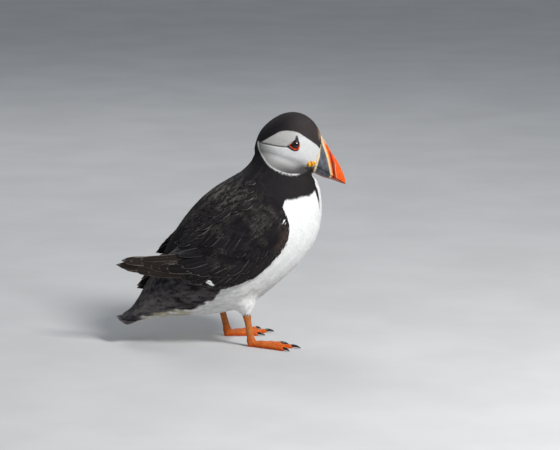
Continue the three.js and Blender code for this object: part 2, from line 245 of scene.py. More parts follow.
def curve(points, count, closed=False):
    """A smooth curve through the points, as that many points."""
    points = np.array(points, float)
    if closed:
        padded = np.vstack([points[-1], points, points[0], points[1]])
    else:
        padded = np.vstack([2 * points[0] - points[1], points, 2 * points[-1] - points[-2]])
    spans = len(padded) - 3
    places = np.linspace(0, spans, count, endpoint=not closed)
    result = []
    for place in places:
        first = min(int(place), spans - 1)
        p = padded[first:first + 4]
        gaps = np.maximum(np.linalg.norm(np.diff(p, axis=0), axis=1), 1e-6) ** 0.5
        k = np.concatenate([[0], np.cumsum(gaps)])
        t = k[1] + (place - first) * (k[2] - k[1])
        a = [p[i] + (p[i + 1] - p[i]) * (t - k[i]) / (k[i + 1] - k[i]) for i in range(3)]
        b = [a[i] + (a[i + 1] - a[i]) * (t - k[i]) / (k[i + 2] - k[i]) for i in range(2)]
        result.append(b[0] + (b[1] - b[0]) * (t - k[1]) / (k[2] - k[1]))
    return np.array(result)


def gap_to_line(line, x, z, closed=False):
    """Distance of each point from a line of many short pieces."""
    a = np.array(line, float)
    b = np.roll(a, -1, 0)
    if not closed:
        a, b = a[:-1], b[:-1]
    way = b - a
    best = np.full(len(x), 1e9)
    for start, step in zip(a, way):
        t = ((x - start[0]) * step[0] + (z - start[1]) * step[1]) / max(step @ step, 1e-9)
        t = np.clip(t, 0, 1)
        best = np.minimum(best, np.hypot(x - start[0] - t * step[0], z - start[1] - t * step[1]))
    return best


def depth_inside(outline, x, z):
    """How far each point is inside a closed outline, negative outside it."""
    ring = np.array(outline, float)
    inside = np.zeros(len(x), bool)
    for (x0, z0), (x1, z1) in zip(ring, np.roll(ring, -1, 0)):
        crosses = (z0 > z) != (z1 > z)
        where = x0 + (z - z0) * (x1 - x0) / (z1 - z0 if z1 != z0 else 1e-9)
        inside ^= crosses & (x < where)
    return np.where(inside, 1, -1) * gap_to_line(ring, x, z, closed=True)


def line_x(line, z):
    """The x of a line that runs upwards, at each height."""
    line = sorted(line, key=lambda p: p[1])
    return np.interp(z, [p[1] for p in line], [p[0] for p in line])


def line_z(line, x):
    """The height of a line that runs backwards or forwards, at each x."""
    line = sorted(line)
    return np.interp(x, [p[0] for p in line], [p[1] for p in line])


def mottle(points, size, seed):
    """Smooth random numbers over space, about -1 to 1, with spots of about that size."""
    waves = 20
    rng = np.random.default_rng(seed)
    ways = rng.normal(size=(3, waves)) * 1.6 / size
    turns = rng.uniform(0, 2 * math.pi, waves)
    return np.sin(points @ ways + turns).sum(1) * math.sqrt(2 / waves)


# ---- Meshes -------------------------------------------------------------------------------------

def coordinates(mesh):
    values = np.empty(len(mesh.vertices) * 3, np.float32)
    mesh.vertices.foreach_get("co", values)
    return values.reshape(-1, 3).astype(float)


def set_coordinates(mesh, points):
    mesh.vertices.foreach_set("co", np.asarray(points, np.float32).ravel())
    mesh.update()


def point_normals(mesh):
    values = np.empty(len(mesh.vertices) * 3, np.float32)
    mesh.vertex_normals.foreach_get("vector", values)
    return values.reshape(-1, 3).astype(float)


def mesh_of(shape):
    """The mesh of a bmesh, which is freed."""
    mesh = bpy.data.meshes.new("work")
    shape.to_mesh(mesh)
    shape.free()
    mesh.update()
    return mesh


def node_shape(name, growth):
    """A merged copy of a CAD node, grown outwards."""
    shape = bmesh.new()
    shape.from_mesh(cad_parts[name].data)
    bmesh.ops.scale(shape, vec=(1 / MM,) * 3, verts=shape.verts)
    bmesh.ops.remove_doubles(shape, verts=shape.verts, dist=0.001)
    shape.normal_update()
    for vert in shape.verts:
        vert.co += vert.normal * growth
    return shape


def add_shape(target, shape):
    """Puts one bmesh into another and frees it."""
    mesh = mesh_of(shape)
    target.from_mesh(mesh)
    bpy.data.meshes.remove(mesh)


def remeshed(shape, voxel):
    """One closed surface round everything in a bmesh."""
    mesh = mesh_of(shape)
    work = bpy.data.objects.new("work", mesh)
    bpy.context.scene.collection.objects.link(work)
    remesh = work.modifiers.new("remesh", "REMESH")
    remesh.mode = "VOXEL"
    remesh.voxel_size = voxel
    graph = bpy.context.evaluated_depsgraph_get()
    result = bpy.data.meshes.new_from_object(work.evaluated_get(graph))
    bpy.data.objects.remove(work)
    bpy.data.meshes.remove(mesh)
    return result


def neighbour_means(mesh):
    """A function that gives the middle of each point's neighbours."""
    pairs = np.empty(len(mesh.edges) * 2, np.int32)
    mesh.edges.foreach_get("vertices", pairs)
    first, second = pairs.reshape(-1, 2).T
    count = len(mesh.vertices)
    near = np.bincount(pairs, minlength=count)[:, None]

    def means(points):
        total = [
            np.bincount(first, points[second, k], count) + np.bincount(second, points[first, k], count)
            for k in range(3)
        ]
        return np.stack(total, 1) / near
    return means


def relax(mesh, rounds):
    """Smooths a mesh without shrinking it: each round pulls the points in and pushes them out."""
    points = coordinates(mesh)
    means = neighbour_means(mesh)
    for _ in range(rounds):
        for pull in (0.5, -0.51):
            points += pull * (means(points) - points)
    set_coordinates(mesh, points)


def spindle(stations, around, along, power=2.0, waist=0.5):
    """A round body swept through stations, each with the two ends of its section in x and z, a half
    width and a sideways place. The waist is the height of its widest place. A power under 2 gives
    the section a keel."""
    top = curve([s["top"] for s in stations], along - 1)
    bottom = curve([s["bottom"] for s in stations], along - 1)
    sides = curve([(s["width"], s.get("out", 0)) for s in stations], along - 1)
    shape = bmesh.new()
    bmesh.ops.create_uvsphere(shape, u_segments=around, v_segments=along, radius=1)
    for vert in shape.verts:
        row = round(math.acos(max(-1, min(1, vert.co.z))) / math.pi * along)
        station = min(max(row - 1, 0), along - 2)
        upper = top[station]
        lower = bottom[station]
        width, out = sides[station]
        place = lower + (upper - lower) * waist
        across = 0
        if 0 < row < along:
            angle = math.atan2(vert.co.y, vert.co.x)
            up = math.copysign(abs(math.cos(angle)) ** (2 / power), math.cos(angle))
            across = math.copysign(abs(math.sin(angle)) ** (2 / power), math.sin(angle))
            place = place + ((upper if up > 0 else lower) - place) * abs(up)
        vert.co = (place[0], out + width * across, place[1])
    bmesh.ops.recalc_face_normals(shape, faces=shape.faces)
    return shape


def round_station(at, out, z, along, across):
    """A level section of a shank: its middle and its two half widths."""
    return {"top": (at - along, z), "bottom": (at + along, z), "out": out, "width": across}


def paint(mesh, name, colours):
    """Stores a colour for each point of a mesh."""
    layer = mesh.color_attributes.new(name, "FLOAT_COLOR", "POINT")
    rows = np.ones((len(mesh.vertices), 4), np.float32)
    rows[:, :3] = colours
    layer.data.foreach_set("color", rows.ravel())


def repeated(faces, places):
    """A mesh of many copies of one small shape, from its faces and every copy's points, and the
    point at each corner of its faces."""
    count, size = places.shape[:2]
    corners = (np.arange(count)[:, None, None] * size + faces[None]).ravel()
    mesh = bpy.data.meshes.new("work")
    mesh.vertices.add(count * size)
    mesh.vertices.foreach_set("co", places.astype(np.float32).ravel())
    mesh.loops.add(len(corners))
    mesh.loops.foreach_set("vertex_index", corners.astype(np.int32))
    mesh.polygons.add(len(corners) // 3)
    mesh.polygons.foreach_set("loop_start", np.arange(0, len(corners), 3, dtype=np.int32))
    mesh.update(calc_edges=True)
    return mesh, corners


def add_map(mesh, name, places):
    """Stores a place on a map for each corner of the faces."""
    mesh.uv_layers.new(name=name).data.foreach_set("uv", places.astype(np.float32).ravel())


def finished(name, mesh, nodes, material, smooth=True):
    """Scales a mesh to metres and makes it a piece of the bird."""
    mesh.transform(Matrix.Scale(MM, 4))
    mesh.name = name
    mesh.polygons.foreach_set("use_smooth", np.full(len(mesh.polygons), smooth))
    mesh.materials.clear()
    mesh.materials.append(material)
    mesh.update()
    piece = bpy.data.objects.new(name, mesh)
    bpy.context.scene.collection.objects.link(piece)
    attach(piece, "root")
    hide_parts(*nodes)


class Surface:
    """A mesh to lay feathers on, asked for the nearest points of many places at once."""

    def __init__(self, mesh):
        self.points = coordinates(mesh)
        self.faces = [tuple(p.vertices) for p in mesh.polygons]
        self.tree = BVHTree.FromPolygons(self.points.tolist(), self.faces)
        self.normals = point_normals(mesh)

    def nearest(self, places):
        spots = np.empty((len(places), 3))
        normals = np.empty((len(places), 3))
        for i, place in enumerate(places.tolist()):
            spot, _, face, _ = self.tree.find_nearest(place)
            spots[i] = spot
            corners = self.faces[face]
            normals[i] = self.normals[list(corners)].mean(0)
        return spots, unit(normals)

    def from_side(self, side, x, z):
        """The places seen from one side at each x and z, or the nearest ones where there is none."""
        spots = np.empty((len(x), 3))
        normals = np.empty((len(x), 3))
        far_out, flank = 80, 30
        for i, (at, height) in enumerate(zip(x, z)):
            spot, _, face, _ = self.tree.ray_cast((at, side * far_out, height), (0, -side, 0))
            if spot is None or spot[1] * side < 0:
                spot, _, face, _ = self.tree.find_nearest((at, side * flank, height))
            spots[i] = spot
            normals[i] = self.normals[list(self.faces[face])].mean(0)
        return spots, unit(normals)


# ---- Materials ----------------------------------------------------------------------------------

class Material:
    """A short way to build a node tree on one principled shader."""

    def __init__(self, name, **sockets):
        self.material = bpy.data.materials.new(name)
        self.material.use_nodes = True
        self.tree = self.material.node_tree
        self.shader = self.tree.nodes["Principled BSDF"]
        self.set(**sockets)

    def set(self, **sockets):
        """Sets numbers on the shader's own sockets."""
        for socket, value in sockets.items():
            self.shader.inputs[socket.replace("_", " ")].default_value = value

    def feed(self, socket, value):
        """Gives a socket a number, a colour or the output of another node."""
        if isinstance(value, bpy.types.NodeSocket):
            self.tree.links.new(value, socket)
        else:
            socket.default_value = value

    def node(self, kind, **inputs):
        node = self.tree.nodes.new(kind)
        for name, value in inputs.items():
            self.feed(node.inputs[name], value)
        return node

    def maths(self, operation, *values):
        node = self.tree.nodes.new("ShaderNodeMath")
        node.operation = operation
        for socket, value in zip(node.inputs, values):
            self.feed(socket, value)
        return node.outputs[0]

    def span(self, value, low, high, to_low=0.0, to_high=1.0):
        """Maps low to high onto another range, smoothly and held at both ends."""
        node = self.tree.nodes.new("ShaderNodeMapRange")
        node.interpolation_type = "SMOOTHSTEP"
        for socket, number in zip(node.inputs, (value, low, high, to_low, to_high)):
            self.feed(socket, number)
        return node.outputs[0]

    def mix(self, share, first, second, kind="MIX"):
        """A mix of two colours. The places are those of a colour mix among the node's sockets."""
        node = self.tree.nodes.new("ShaderNodeMix")
        node.data_type = "RGBA"
        node.blend_type = kind
        for place, value in ((0, share), (6, first), (7, second)):
            self.feed(node.inputs[place], value)
        return node.outputs[2]

    def grey(self, amount):
        return self.node("ShaderNodeCombineXYZ", X=amount, Y=amount, Z=amount).outputs[0]

    def times(self, tint, amount):
        """A colour made lighter or darker by a number."""
        return self.mix(1.0, tint, self.grey(amount), "MULTIPLY")

    def attribute(self, name):
        node = self.tree.nodes.new("ShaderNodeAttribute")
        node.attribute_name = name
        return node.outputs["Color"]

    def place(self):
        return self.tree.nodes.new("ShaderNodeTexCoord").outputs["Object"]

    def noise(self, scale, detail=3.0, roughness=0.55):
        node = self.node("ShaderNodeTexNoise", Vector=self.place(), Scale=scale, Detail=detail)
        node.inputs["Roughness"].default_value = roughness
        return node.outputs["Fac"]

    def colour(self, socket):
        self.tree.links.new(socket, self.shader.inputs["Base Color"])

    def rough(self, socket):
        self.tree.links.new(socket, self.shader.inputs["Roughness"])

    def bump(self, height, distance):
        node = self.node("ShaderNodeBump", Height=height, Distance=distance * MM, Strength=1.0)
        self.tree.links.new(node.outputs[0], self.shader.inputs["Normal"])


def plumage_material(name, sheen, roughness=0.72):
    """Soft feathers: their stored tint, lightened and darkened a little from place to place."""
    make = Material(name, Roughness=roughness, Specular_IOR_Level=0.10)
    make.set(Sheen_Weight=sheen, Sheen_Roughness=0.45)
    flecks = make.span(make.noise(1300, 2), 0.35, 0.65, 0.92, 1.06)
    make.colour(make.times(make.attribute("tint"), flecks))
    make.bump(make.noise(2600, 2), 0.05)
    return make.material


def skin_material():
    """The same markings as the coat over it, and scaly where it is bare, on the legs and feet."""
    make = Material("Skin", Roughness=0.5, Specular_IOR_Level=0.18)
    bare = make.node("ShaderNodeSeparateXYZ", Vector=make.attribute("bare")).outputs[0]
    blotches = make.span(make.noise(420, 3), 0.3, 0.7, 0.86, 1.12)
    tint = make.times(make.attribute("tint"), blotches)
    scales = make.node("ShaderNodeTexVoronoi", Vector=make.place(), Scale=900.0)
    scales.feature = "DISTANCE_TO_EDGE"
    seams = make.span(scales.outputs["Distance"], 0.0, 0.13, 0.50, 1.04)
    make.colour(make.mix(bare, tint, make.times(tint, seams)))
    relief = make.span(scales.outputs["Distance"], 0.0, 0.2)
    make.bump(make.maths("MULTIPLY", relief, bare), 0.16)
    return make.material


def vane_material(name, roughness=0.55):
    """Long feathers: fine barbs slanting from the shaft, streaks along them, and a worn pale fringe."""
    make = Material(name, Roughness=roughness, Specular_IOR_Level=0.13)
    make.set(Sheen_Weight=0.01, Sheen_Roughness=0.4)
    vane = make.tree.nodes.new("ShaderNodeUVMap")
    vane.uv_map = "Vane"
    parts = make.node("ShaderNodeSeparateXYZ", Vector=vane.outputs[0])
    across = make.maths("ABSOLUTE", make.maths("SUBTRACT", parts.outputs[0], 0.5))
    along = parts.outputs[1]
    slant = make.maths("SUBTRACT", make.maths("MULTIPLY", along, 60.0), make.maths("MULTIPLY", across, 34.0))
    chance = make.attribute("chance")
    wide = make.maths("MULTIPLY", across, 2.0)
    place = make.node("ShaderNodeCombineXYZ", X=slant, Y=wide, Z=chance).outputs[0]
    barbs = make.node("ShaderNodeTexNoise", Vector=place, Scale=1.6, Detail=3.0).outputs["Fac"]
    edge = make.maths("MAXIMUM", make.span(across, 0.41, 0.47), make.span(along, 0.94, 0.98))
    uneven = make.span(barbs, 0.36, 0.56, 0.25, 1.0)
    fringe = make.maths("MULTIPLY", edge, uneven)
    worn = make.attribute("fringe")
    shaft = make.span(across, 0.04, 0.015)
    streaks = make.span(barbs, 0.25, 0.75, 0.62, 1.45)
    base = make.times(make.attribute("tint"), streaks)
    base = make.mix(make.maths("MULTIPLY", shaft, 0.3), base, (*WORN * 0.4, 1))
    make.colour(make.mix(fringe, base, worn))
    make.bump(make.maths("ADD", barbs, make.maths("MULTIPLY", shaft, 0.6)), 0.09)
    return make.material


def horn_material(name, roughness, flecks=0.12, coat=0.15):
    """Smooth horn: its stored tint with faint growth marks and small scratches."""
    make = Material(name, Specular_IOR_Level=0.25, Coat_Weight=coat, Coat_Roughness=0.2)
    marks = make.span(make.noise(260, 5, 0.6), 0.3, 0.7, 1 - flecks, 1 + flecks)
    make.colour(make.times(make.attribute("tint"), marks))
    make.rough(make.span(make.noise(900, 4), 0.3, 0.7, roughness - 0.07, roughness + 0.1))
    make.bump(make.noise(1500, 4), 0.035)
    return make.material


def floor_material():
    make = Material("Pale floor", Roughness=0.85, Specular_IOR_Level=0.2)
    tone = make.span(make.noise(9, 4), 0.3, 0.7, 0.52, 0.56)
    make.colour(make.grey(tone))
    return make.material


# ---- Markings -----------------------------------------------------------------------------------

FACE_RING = curve(FACE_PATCH, 88, closed=True)
FURROW_PATH = curve(FURROW, 24)
FACE_RIM = curve(FACE_PATCH[16:] + FACE_PATCH[:1], 40)  # the edge of the cheek under and behind the eye


def face_depth(points):
    """How far each point is inside the pale patch of the cheek."""
    return depth_inside(FACE_RING, points[:, 0], points[:, 2])


def face_tint(points):
    """The cheek: white before and under the eye, pearl grey above the furrow, greyer towards its lower edge
    and sooty at the chin, partly its own grey and partly painted shade.
    """
    x, z = points[:, 0], points[:, 2]
    rim_gap = gap_to_line(FACE_RIM, x, z)
    # Towards its lower edge the cheek is painted grey, darker towards the chin: partly its own grey, partly
    # painted shade.
    low = blend(PEARL * 0.62, SOOT * 1.1, ease(34, 54, x))
    shade = ease(1.0, 17, rim_gap)
    tint = blend(low, WHITE * 0.80, shade)
    furrow_z = line_z(FURROW, x)
    above = ease(-0.3, 0.5, z - furrow_z) * ease(63, 56, x)
    tint = blend(tint, PEARL, above * 0.9)
    brow = ease(185, 192, z) * ease(54, 60, x) * ease(72, 64, x)
    tint = blend(tint, PEARL * 1.4, brow * 0.5)
    # The chin is painted sooty: partly its own dark grey, partly painted shade.
    chin = ease(164.5, 159.5, z) * ease(56, 64, x)
    tint = blend(tint, SOOT, chin)
    crease = ease(FURROW_WIDTH, FURROW_WIDTH * 0.3, gap_to_line(FURROW_PATH, x, z))
    tint = blend(tint, BLACK * 1.5, crease)
    rim = ease(1.25, 0.5, rim_gap) * ease(64, 58, x)
    return blend(tint, WHITE * 0.9, rim)


def white_share(points):
    """1 on the white underparts and 0 on the black ones."""
    x, y, z = points[:, 0], np.abs(points[:, 1]), points[:, 2]
    ragged = mottle(points * np.array((0.35, 1, 1)), 2.0, 3)
    flank = line_z(WHITE_EDGE, x) + ragged * (0.4 + 1.1 * ease(10, -40, x))
    breast = line_z(COLLAR_EDGE, y) + ragged * 0.35
    edge = flank + (breast - flank) * ease(45, 52, x)
    blur = 0.7 + 1.6 * ease(-5, -40, x)
    share = ease(1, -1, (z - edge) / blur)
    # A dark strip is painted down each side of the breast from the collar: mostly painted shade in a crease
    # of the plumage, partly the collar's dark feathers.
    crease_half = 2.2 * ease(118, 142, z)
    crease_middle = np.interp(z, [118, 142], [10.5, 12.5])
    crease = ease(crease_half + 0.5, crease_half - 0.5, np.abs(y - crease_middle)) * (x > 60) * (z > 119)
    return share * (1 - crease)


def plumage_tint(points, on_wing=False):
    """The colour of skin and feathers at each place. The wings have no white but a spot at the wrist."""
    x, y, z = points[:, 0], np.abs(points[:, 1]), points[:, 2]
    patches = mottle(points, 9, 4)
    fine = mottle(points, 2.2, 5)
    dark = np.tile(BLACK, (len(points), 1))
    back = ease(45, 20, x) * ease(60, 80, z)
    dark = blend(dark, BLACK * 2.1, back * ease(0.2, 1.0, fine * 0.6 + patches * 0.5))
    rump = ease(-2, -22, x) * ease(78, 66, z)
    streaks = np.clip(mottle(points * np.array((0.22, 1, 1)), 1.6, 6), -1.2, 1.2)
    dark = blend(dark, SOOT * 1.5, rump * (0.5 + 0.4 * streaks))
    tail = ease(-66, -90, x)
    dark = blend(dark, SOOT * 2.1, tail * (0.55 + 0.3 * streaks))
    mantle = np.exp(-(((x + 8) / 22) ** 2 + ((z - 138) / 12) ** 2))
    dark = blend(dark, WORN, mantle * np.clip(0.3 + 0.5 * fine, 0, 0.7))
    cap = ease(168, 180, z) * ease(30, 60, x)
    dark = blend(dark, CAP_BROWN * 1.15, cap * (0.2 + 0.8 * ease(42, 72, x)))
    # The front of the collar is painted browner: partly its own brownish black, partly painted sunlight.
    collar = ease(174, 166, z) * ease(40, 60, x) * ease(128, 136, z)
    dark = blend(dark, CAP_BROWN * 0.6, collar * 0.5)
    light = np.tile(WHITE, (len(points), 1))
    belly = ease(100, 55, z) * ease(60, 25, x)
    light = blend(light, WHITE * 0.80, belly * ease(0.1, 1.2, fine + 0.5 * patches) * 0.7)
    light = blend(light, PEARL * 1.2, belly * ease(0.2, 1.3, streaks) * 0.5)
    under = ease(-22, -52, x)
    light = blend(light, CREAM * 0.75, under * (0.55 + 0.3 * streaks))
    wrist_spot = np.hypot(*((points[:, [0, 2]] - WRIST_SPOT) / WRIST_SPOT_HALF).T) < 1
    white = np.where(on_wing, wrist_spot, white_share(points))
    brown = ease(38, 50, x) * ease(118, 110, z) * on_wing
    dark = blend(dark, WING_BROWN * 1.2, brown * (0.55 + 0.45 * np.clip(fine, -1, 1)))
    tint = blend(dark, light, white)
    junction = ease(4.6, 0.2, line_x(CERE_LINE, z) - 1.2 - x) * ease(183, 186.5, z) * ease(9, 3, y)
    tint = blend(tint, FOREHEAD_PINK, junction * 0.8)
    head = (z > 148) & (x > 20)
    inside = np.where(head, ease(-0.45, 0.45, face_depth(points)), 0)
    tint = blend(tint, face_tint(points), inside)
    near_eye = head & (np.hypot(x - EYE_CENTRE[0], z - EYE_CENTRE[2]) < 12)
    bare = np.where(near_eye, ease(-0.1, 0.25, depth_inside(EYE_BARE, x, z)), 0)
    return blend(tint, LID_SHADE, bare)


# ---- Skin ---------------------------------------------------------------------------------------

BODY_NODES = ["head", "neck", "trunk", "tail", "thigh_left", "thigh_right"]
WING_NODES = ["wing_left", "wing_right"]
EYE_NODES = ["eye_left", "eye_right"]  # they close the sockets
FOOT_NODES = ["leg_left", "leg_right", "foot_left", "foot_right"]


def cut_off_behind(shape, x):
    """Removes what lies behind x and closes the cut."""
    everything = shape.verts[:] + shape.edges[:] + shape.faces[:]
    plane = {"plane_co": (x, 0, 0), "plane_no": (-1, 0, 0)}
    cut = bmesh.ops.bisect_plane(shape, geom=everything, clear_outer=True, **plane)
    rim = [e for e in cut["geom_cut"] if isinstance(e, bmesh.types.BMEdge)]
    bmesh.ops.triangle_fill(shape, edges=rim, use_beauty=True)
    bmesh.ops.recalc_face_normals(shape, faces=shape.faces)
    return shape


def nearest_parts(points):
    """The kind of CAD node that is nearest to each point."""
    corners = []
    faces = []
    kinds = []
    for name in BODY_NODES + WING_NODES:
        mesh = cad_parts[name].data
        start = len(corners)
        corners += [v.co / MM for v in mesh.vertices]
        faces += [tuple(start + i for i in p.vertices) for p in mesh.polygons]
        kinds += [name.split("_")[0]] * len(mesh.polygons)
    tree = BVHTree.FromPolygons(corners, faces)
    return np.array([kinds[tree.find_nearest(p)[2]] for p in points.tolist()])


def body_flesh(wings_whole=False):
    """One closed surface round the body, and round as much of the wings and tail as is flesh."""
    shape = bmesh.new()
    for name in BODY_NODES + EYE_NODES:
        part = node_shape(name, SEAM_COVER)
        if name == "tail" and not wings_whole:
            cut_off_behind(part, TAIL_FLESH_END)
        add_shape(shape, part)
    for name in WING_NODES:
        part = node_shape(name, SEAM_COVER)
        add_shape(shape, part if wings_whole else cut_off_behind(part, WING_FLESH_END))
    return remeshed(shape, BODY_VOXEL)


def whole_form():
    """The outside of the whole bird, which long feathers are laid on."""
    mesh = body_flesh(wings_whole=True)
    relax(mesh, rounds=14)
    fill_back(mesh)
    form = Surface(mesh)
    bpy.data.meshes.remove(mesh)
    return form


def fill_thigh(mesh):
    """Runs the belly smoothly into the thighs by filling the hollow between them."""
    points = coordinates(mesh)
    means = neighbour_means(mesh)
    x, z = points[:, 0], points[:, 2]
    share = ease(-30, -12, x) * ease(38, 24, x) * ease(58, 48, z) * ease(26, 31, z)
    normals = point_normals(mesh)
    rounds, pull_out, pull_in = 60, 0.9, 0.35
    for _ in range(rounds):
        step = (means(points) - points) * share[:, None]
        outwards = (step * normals).sum(1) > 0
        points += step * np.where(outwards, pull_out, pull_in)[:, None]
    set_coordinates(mesh, points)


def fill_back(mesh):
    """Swells the lower back."""
    points = coordinates(mesh)
    x, y, z = points[:, 0], np.abs(points[:, 1]), points[:, 2]
    near_top = ease(24, 6, line_z(BACK_LINE, x) - z)
    share = ease(-66, -52, x) * ease(12, -14, x) * near_top * ease(34, 16, y)
    set_coordinates(mesh, points + point_normals(mesh) * (BACK_FILL * share)[:, None])


def refine_head(mesh, parts):
    """Halves the grain of the head, and gives the parts of the new points."""
    shape = bmesh.new()
    shape.from_mesh(mesh)
    shape.verts.ensure_lookup_table()
    head = {v for v in shape.verts if parts[v.index] == "head"}
    edges = [e for e in shape.edges if e.verts[0] in head and e.verts[1] in head]
    bmesh.ops.subdivide_edges(shape, edges=edges, cuts=1, use_grid_fill=True)
    count = len(shape.verts)
    shape.to_mesh(mesh)
    shape.free()
    return np.concatenate([parts, np.full(count - len(parts), "head")])


def skin_depth(points, parts):
    """How far the skin lies under the surface of the coat."""
    depth = np.array([COAT_DEPTH[p] for p in parts])
    face = ease(-2, 2, face_depth(points))
    depth = np.where(parts == "head", depth - 0.15 * face, depth)
    depth = depth + wing_sink(points) * (parts == "wing")
    tail = ease(-70, -96, points[:, 0]) * (parts == "tail")
    return depth + (0.9 - depth) * tail


def sculpt_head(mesh, parts):
    """Sinks the furrow behind the eye and the socket, and swells the brow and the cheek."""
    points = coordinates(mesh)
    normals = point_normals(mesh)
    x, z = points[:, 0], points[:, 2]
    on_head = (parts == "head") & (np.abs(points[:, 1]) > 6)
    furrow = np.exp(-(gap_to_line(FURROW_PATH, x, z) / FURROW_WIDTH) ** 2) * ease(26, 34, x)
    brow = np.exp(-(((z - 187) / 5) ** 2 + ((x - 50) / 12) ** 2))
    cheek = np.exp(-(((z - 173) / 6) ** 2 + ((x - 52) / 16) ** 2))
    eye_gap = np.hypot(x - EYE_CENTRE[0], z - EYE_CENTRE[2])
    socket = np.exp(-(eye_gap / SOCKET_RADIUS) ** 4)
    move = BROW_SWELL * brow + CHEEK_SWELL * cheek - FURROW_DEPTH * furrow - SOCKET_DEPTH * socket
    set_coordinates(mesh, points + normals * (move * on_head)[:, None])


def wing_sink(points):
    """How far the wing lies under the long shoulder feathers and in the fold back from the wrist."""
    x, z = points[:, 0], points[:, 2]
    below = line_z(SCAPULAR_EDGE, x) - z
    step = ease(-1.5, 1.5, below) * ease(22, 4, below) * ease(50, 40, x)
    under = line_z(WING_FOLD, x) - z
    ends = ease(-38, -28, x) * ease(50, 42, x)
    swell = np.exp(-((under - 7.5) / 4.5) ** 2)
    fold = np.exp(-(under / 2.6) ** 2) - 0.55 * swell
    return STEP_DEPTH * step + FOLD_DEPTH * fold * ends


def slim_tail(mesh):
    """Thins the end of the tail's flesh towards the long feathers in it."""
    points = coordinates(mesh)
    x, z = points[:, 0], points[:, 2]
    thinning, narrowing = 0.72, 0.22
    share = thinning * ease(-76, -97, x)
    points[:, 2] = z + (line_z(TAIL_MIDDLE, x) - z) * share
    points[:, 1] *= 1 - narrowing * ease(-82, -98, x)
    set_coordinates(mesh, points)


def toe_shape(toe):
    """One toe along +X, with swellings at its joints."""
    length = toe["length"]
    joints = [(0, 3.3), (0.16, 2.7), (0.34, 2.75), (0.5, 2.3), (0.66, 2.4), (0.82, 1.95), (0.95, 2.0)]
    heel = (-3, 2.6)
    stations = [
        {"top": (at, radius * 1.85), "bottom": (at, -0.15 * radius), "width": radius * 0.95}
        for at, radius in [heel] + [(share * length, radius) for share, radius in joints]
    ]
    stations.append({"top": (length + 1, 2.4), "bottom": (length + 1, 0.7), "width": 0.9})
    return spindle(stations, around=20, along=46)


def web_shape():
    """The skin between the toes, with a hollow front edge between each two."""
    def reach(toe, share):
        yaw = math.radians(toe["yaw"])
        return np.array((toe["length"] * share * math.cos(yaw), toe["length"] * share * math.sin(yaw)))
    edge = [np.array((-2, 1.5)), reach(TOES[0], 0.96)]
    for a, b in zip(TOES, TOES[1:]):
        dip = (reach(a, 0.86) + reach(b, 0.86)) / 2
        for t in (0.2, 0.4, 0.6, 0.8, 1.0):
            edge.append(reach(a, 0.96) * (1 - t) ** 2 + 2 * dip * t * (1 - t) + reach(b, 0.96) * t * t)
    edge.append(np.array((-2, -1.5)))
    shape = bmesh.new()
    verts = [shape.verts.new((x, y, 0)) for x, y in edge]
    face = shape.faces.new(verts)
    raised = bmesh.ops.extrude_face_region(shape, geom=[face])
    top = [v for v in raised["geom"] if isinstance(v, bmesh.types.BMVert)]
    bmesh.ops.translate(shape, vec=(0, 0, WEB_THICKNESS), verts=top)
    bmesh.ops.recalc_face_normals(shape, faces=shape.faces)
    return shape


def foot_place(name):
    """Turns a foot along +X into its place on the floor."""
    leg = LEGS[name]
    side = SIDES[name]
    place = Matrix.Translation((leg["joint"][0], side * leg["joint"][1], 0))
    turn = Matrix.Rotation(side * math.radians(leg["yaw"]), 4, "Z")
    return place @ turn @ Matrix.Diagonal((1, -side, 1, 1))


def foot_of(name, toe_part, *between):
    """One part for each toe, and what lies between them, in their place on the floor."""
    foot = bmesh.new()
    for toe in TOES:
        part = toe_part(toe)
        turn = Matrix.Rotation(math.radians(toe["yaw"]), 3, "Z")
        bmesh.ops.rotate(part, matrix=turn, verts=part.verts)
        add_shape(foot, part)
    for part in between:
        add_shape(foot, part)
    bmesh.ops.transform(foot, matrix=foot_place(name), verts=foot.verts)
    bmesh.ops.recalc_face_normals(foot, faces=foot.faces)
    return foot


def leg_flesh(name):
    """One closed surface round a foot and its shank."""
    leg = LEGS[name]
    side = SIDES[name]
    shape = foot_of(name, toe_shape, web_shape())
    low = np.array((leg["joint"][0], leg["joint"][1], JOINT_HEIGHT))
    high = np.array(leg["ankle"])
    stations = []
    for t, size in ((-0.12, 1.0), (0, 1.3), (0.2, 1.0), (0.5, 0.92), (0.75, 0.95), (1, 1.25), (1.3, 1.1)):
        x, y, z = low + (high - low) * t
        stations.append(round_station(x, side * y, z, SHANK_ALONG * size, SHANK_ACROSS * size))
    add_shape(shape, spindle(stations, around=24, along=30))
    return remeshed(shape, FOOT_VOXEL)


def flat_soles(mesh):
    """Sets the undersides down on the floor, and lets the webs sag and pucker a little."""
    points = coordinates(mesh)
    pucker = mottle(points * np.array((1, 1, 0.2)), 3.0, 8)
    upper = ease(0.5, 1.2, points[:, 2]) * ease(2.6, 1.4, points[:, 2])
    points[:, 2] += WEB_PUCKER * pucker * upper
    points[:, 2] = np.where(points[:, 2] < SOLE_HEIGHT, 0, points[:, 2])
    set_coordinates(mesh, points)


def claw_shape(toe):
    """The black nail of a toe along +X, bent down to the ground."""
    start, claw = toe["length"] - CLAW_OVERLAP, toe["claw"] + CLAW_OVERLAP
    # Share of the length, height and half height.
    shares = [
        (0, 2.0, 0.95), (0.25, 2.35, 1.3), (0.5, 2.2, 1.2),
        (0.75, 1.65, 0.9), (0.92, 1.0, 0.55), (1, 0.6, 0.3),
    ]
    stations = [{"top": (start + claw * t, z + r), "bottom": (start + claw * t, z - r), "width": r * 0.85}
                for t, z, r in shares]
    return spindle(stations, around=16, along=24)


def make_claws():
    """The nails of each foot."""
    material = horn_material("Claw horn", roughness=0.32, flecks=0.3, coat=0.3)
    for name in SIDES:
        mesh = mesh_of(foot_of(name, claw_shape))
        paint(mesh, "tint", np.tile(CLAW_BLACK, (len(mesh.vertices), 1)))
        finished(f"claws_{name}", mesh, [f"foot_{name}"], material)


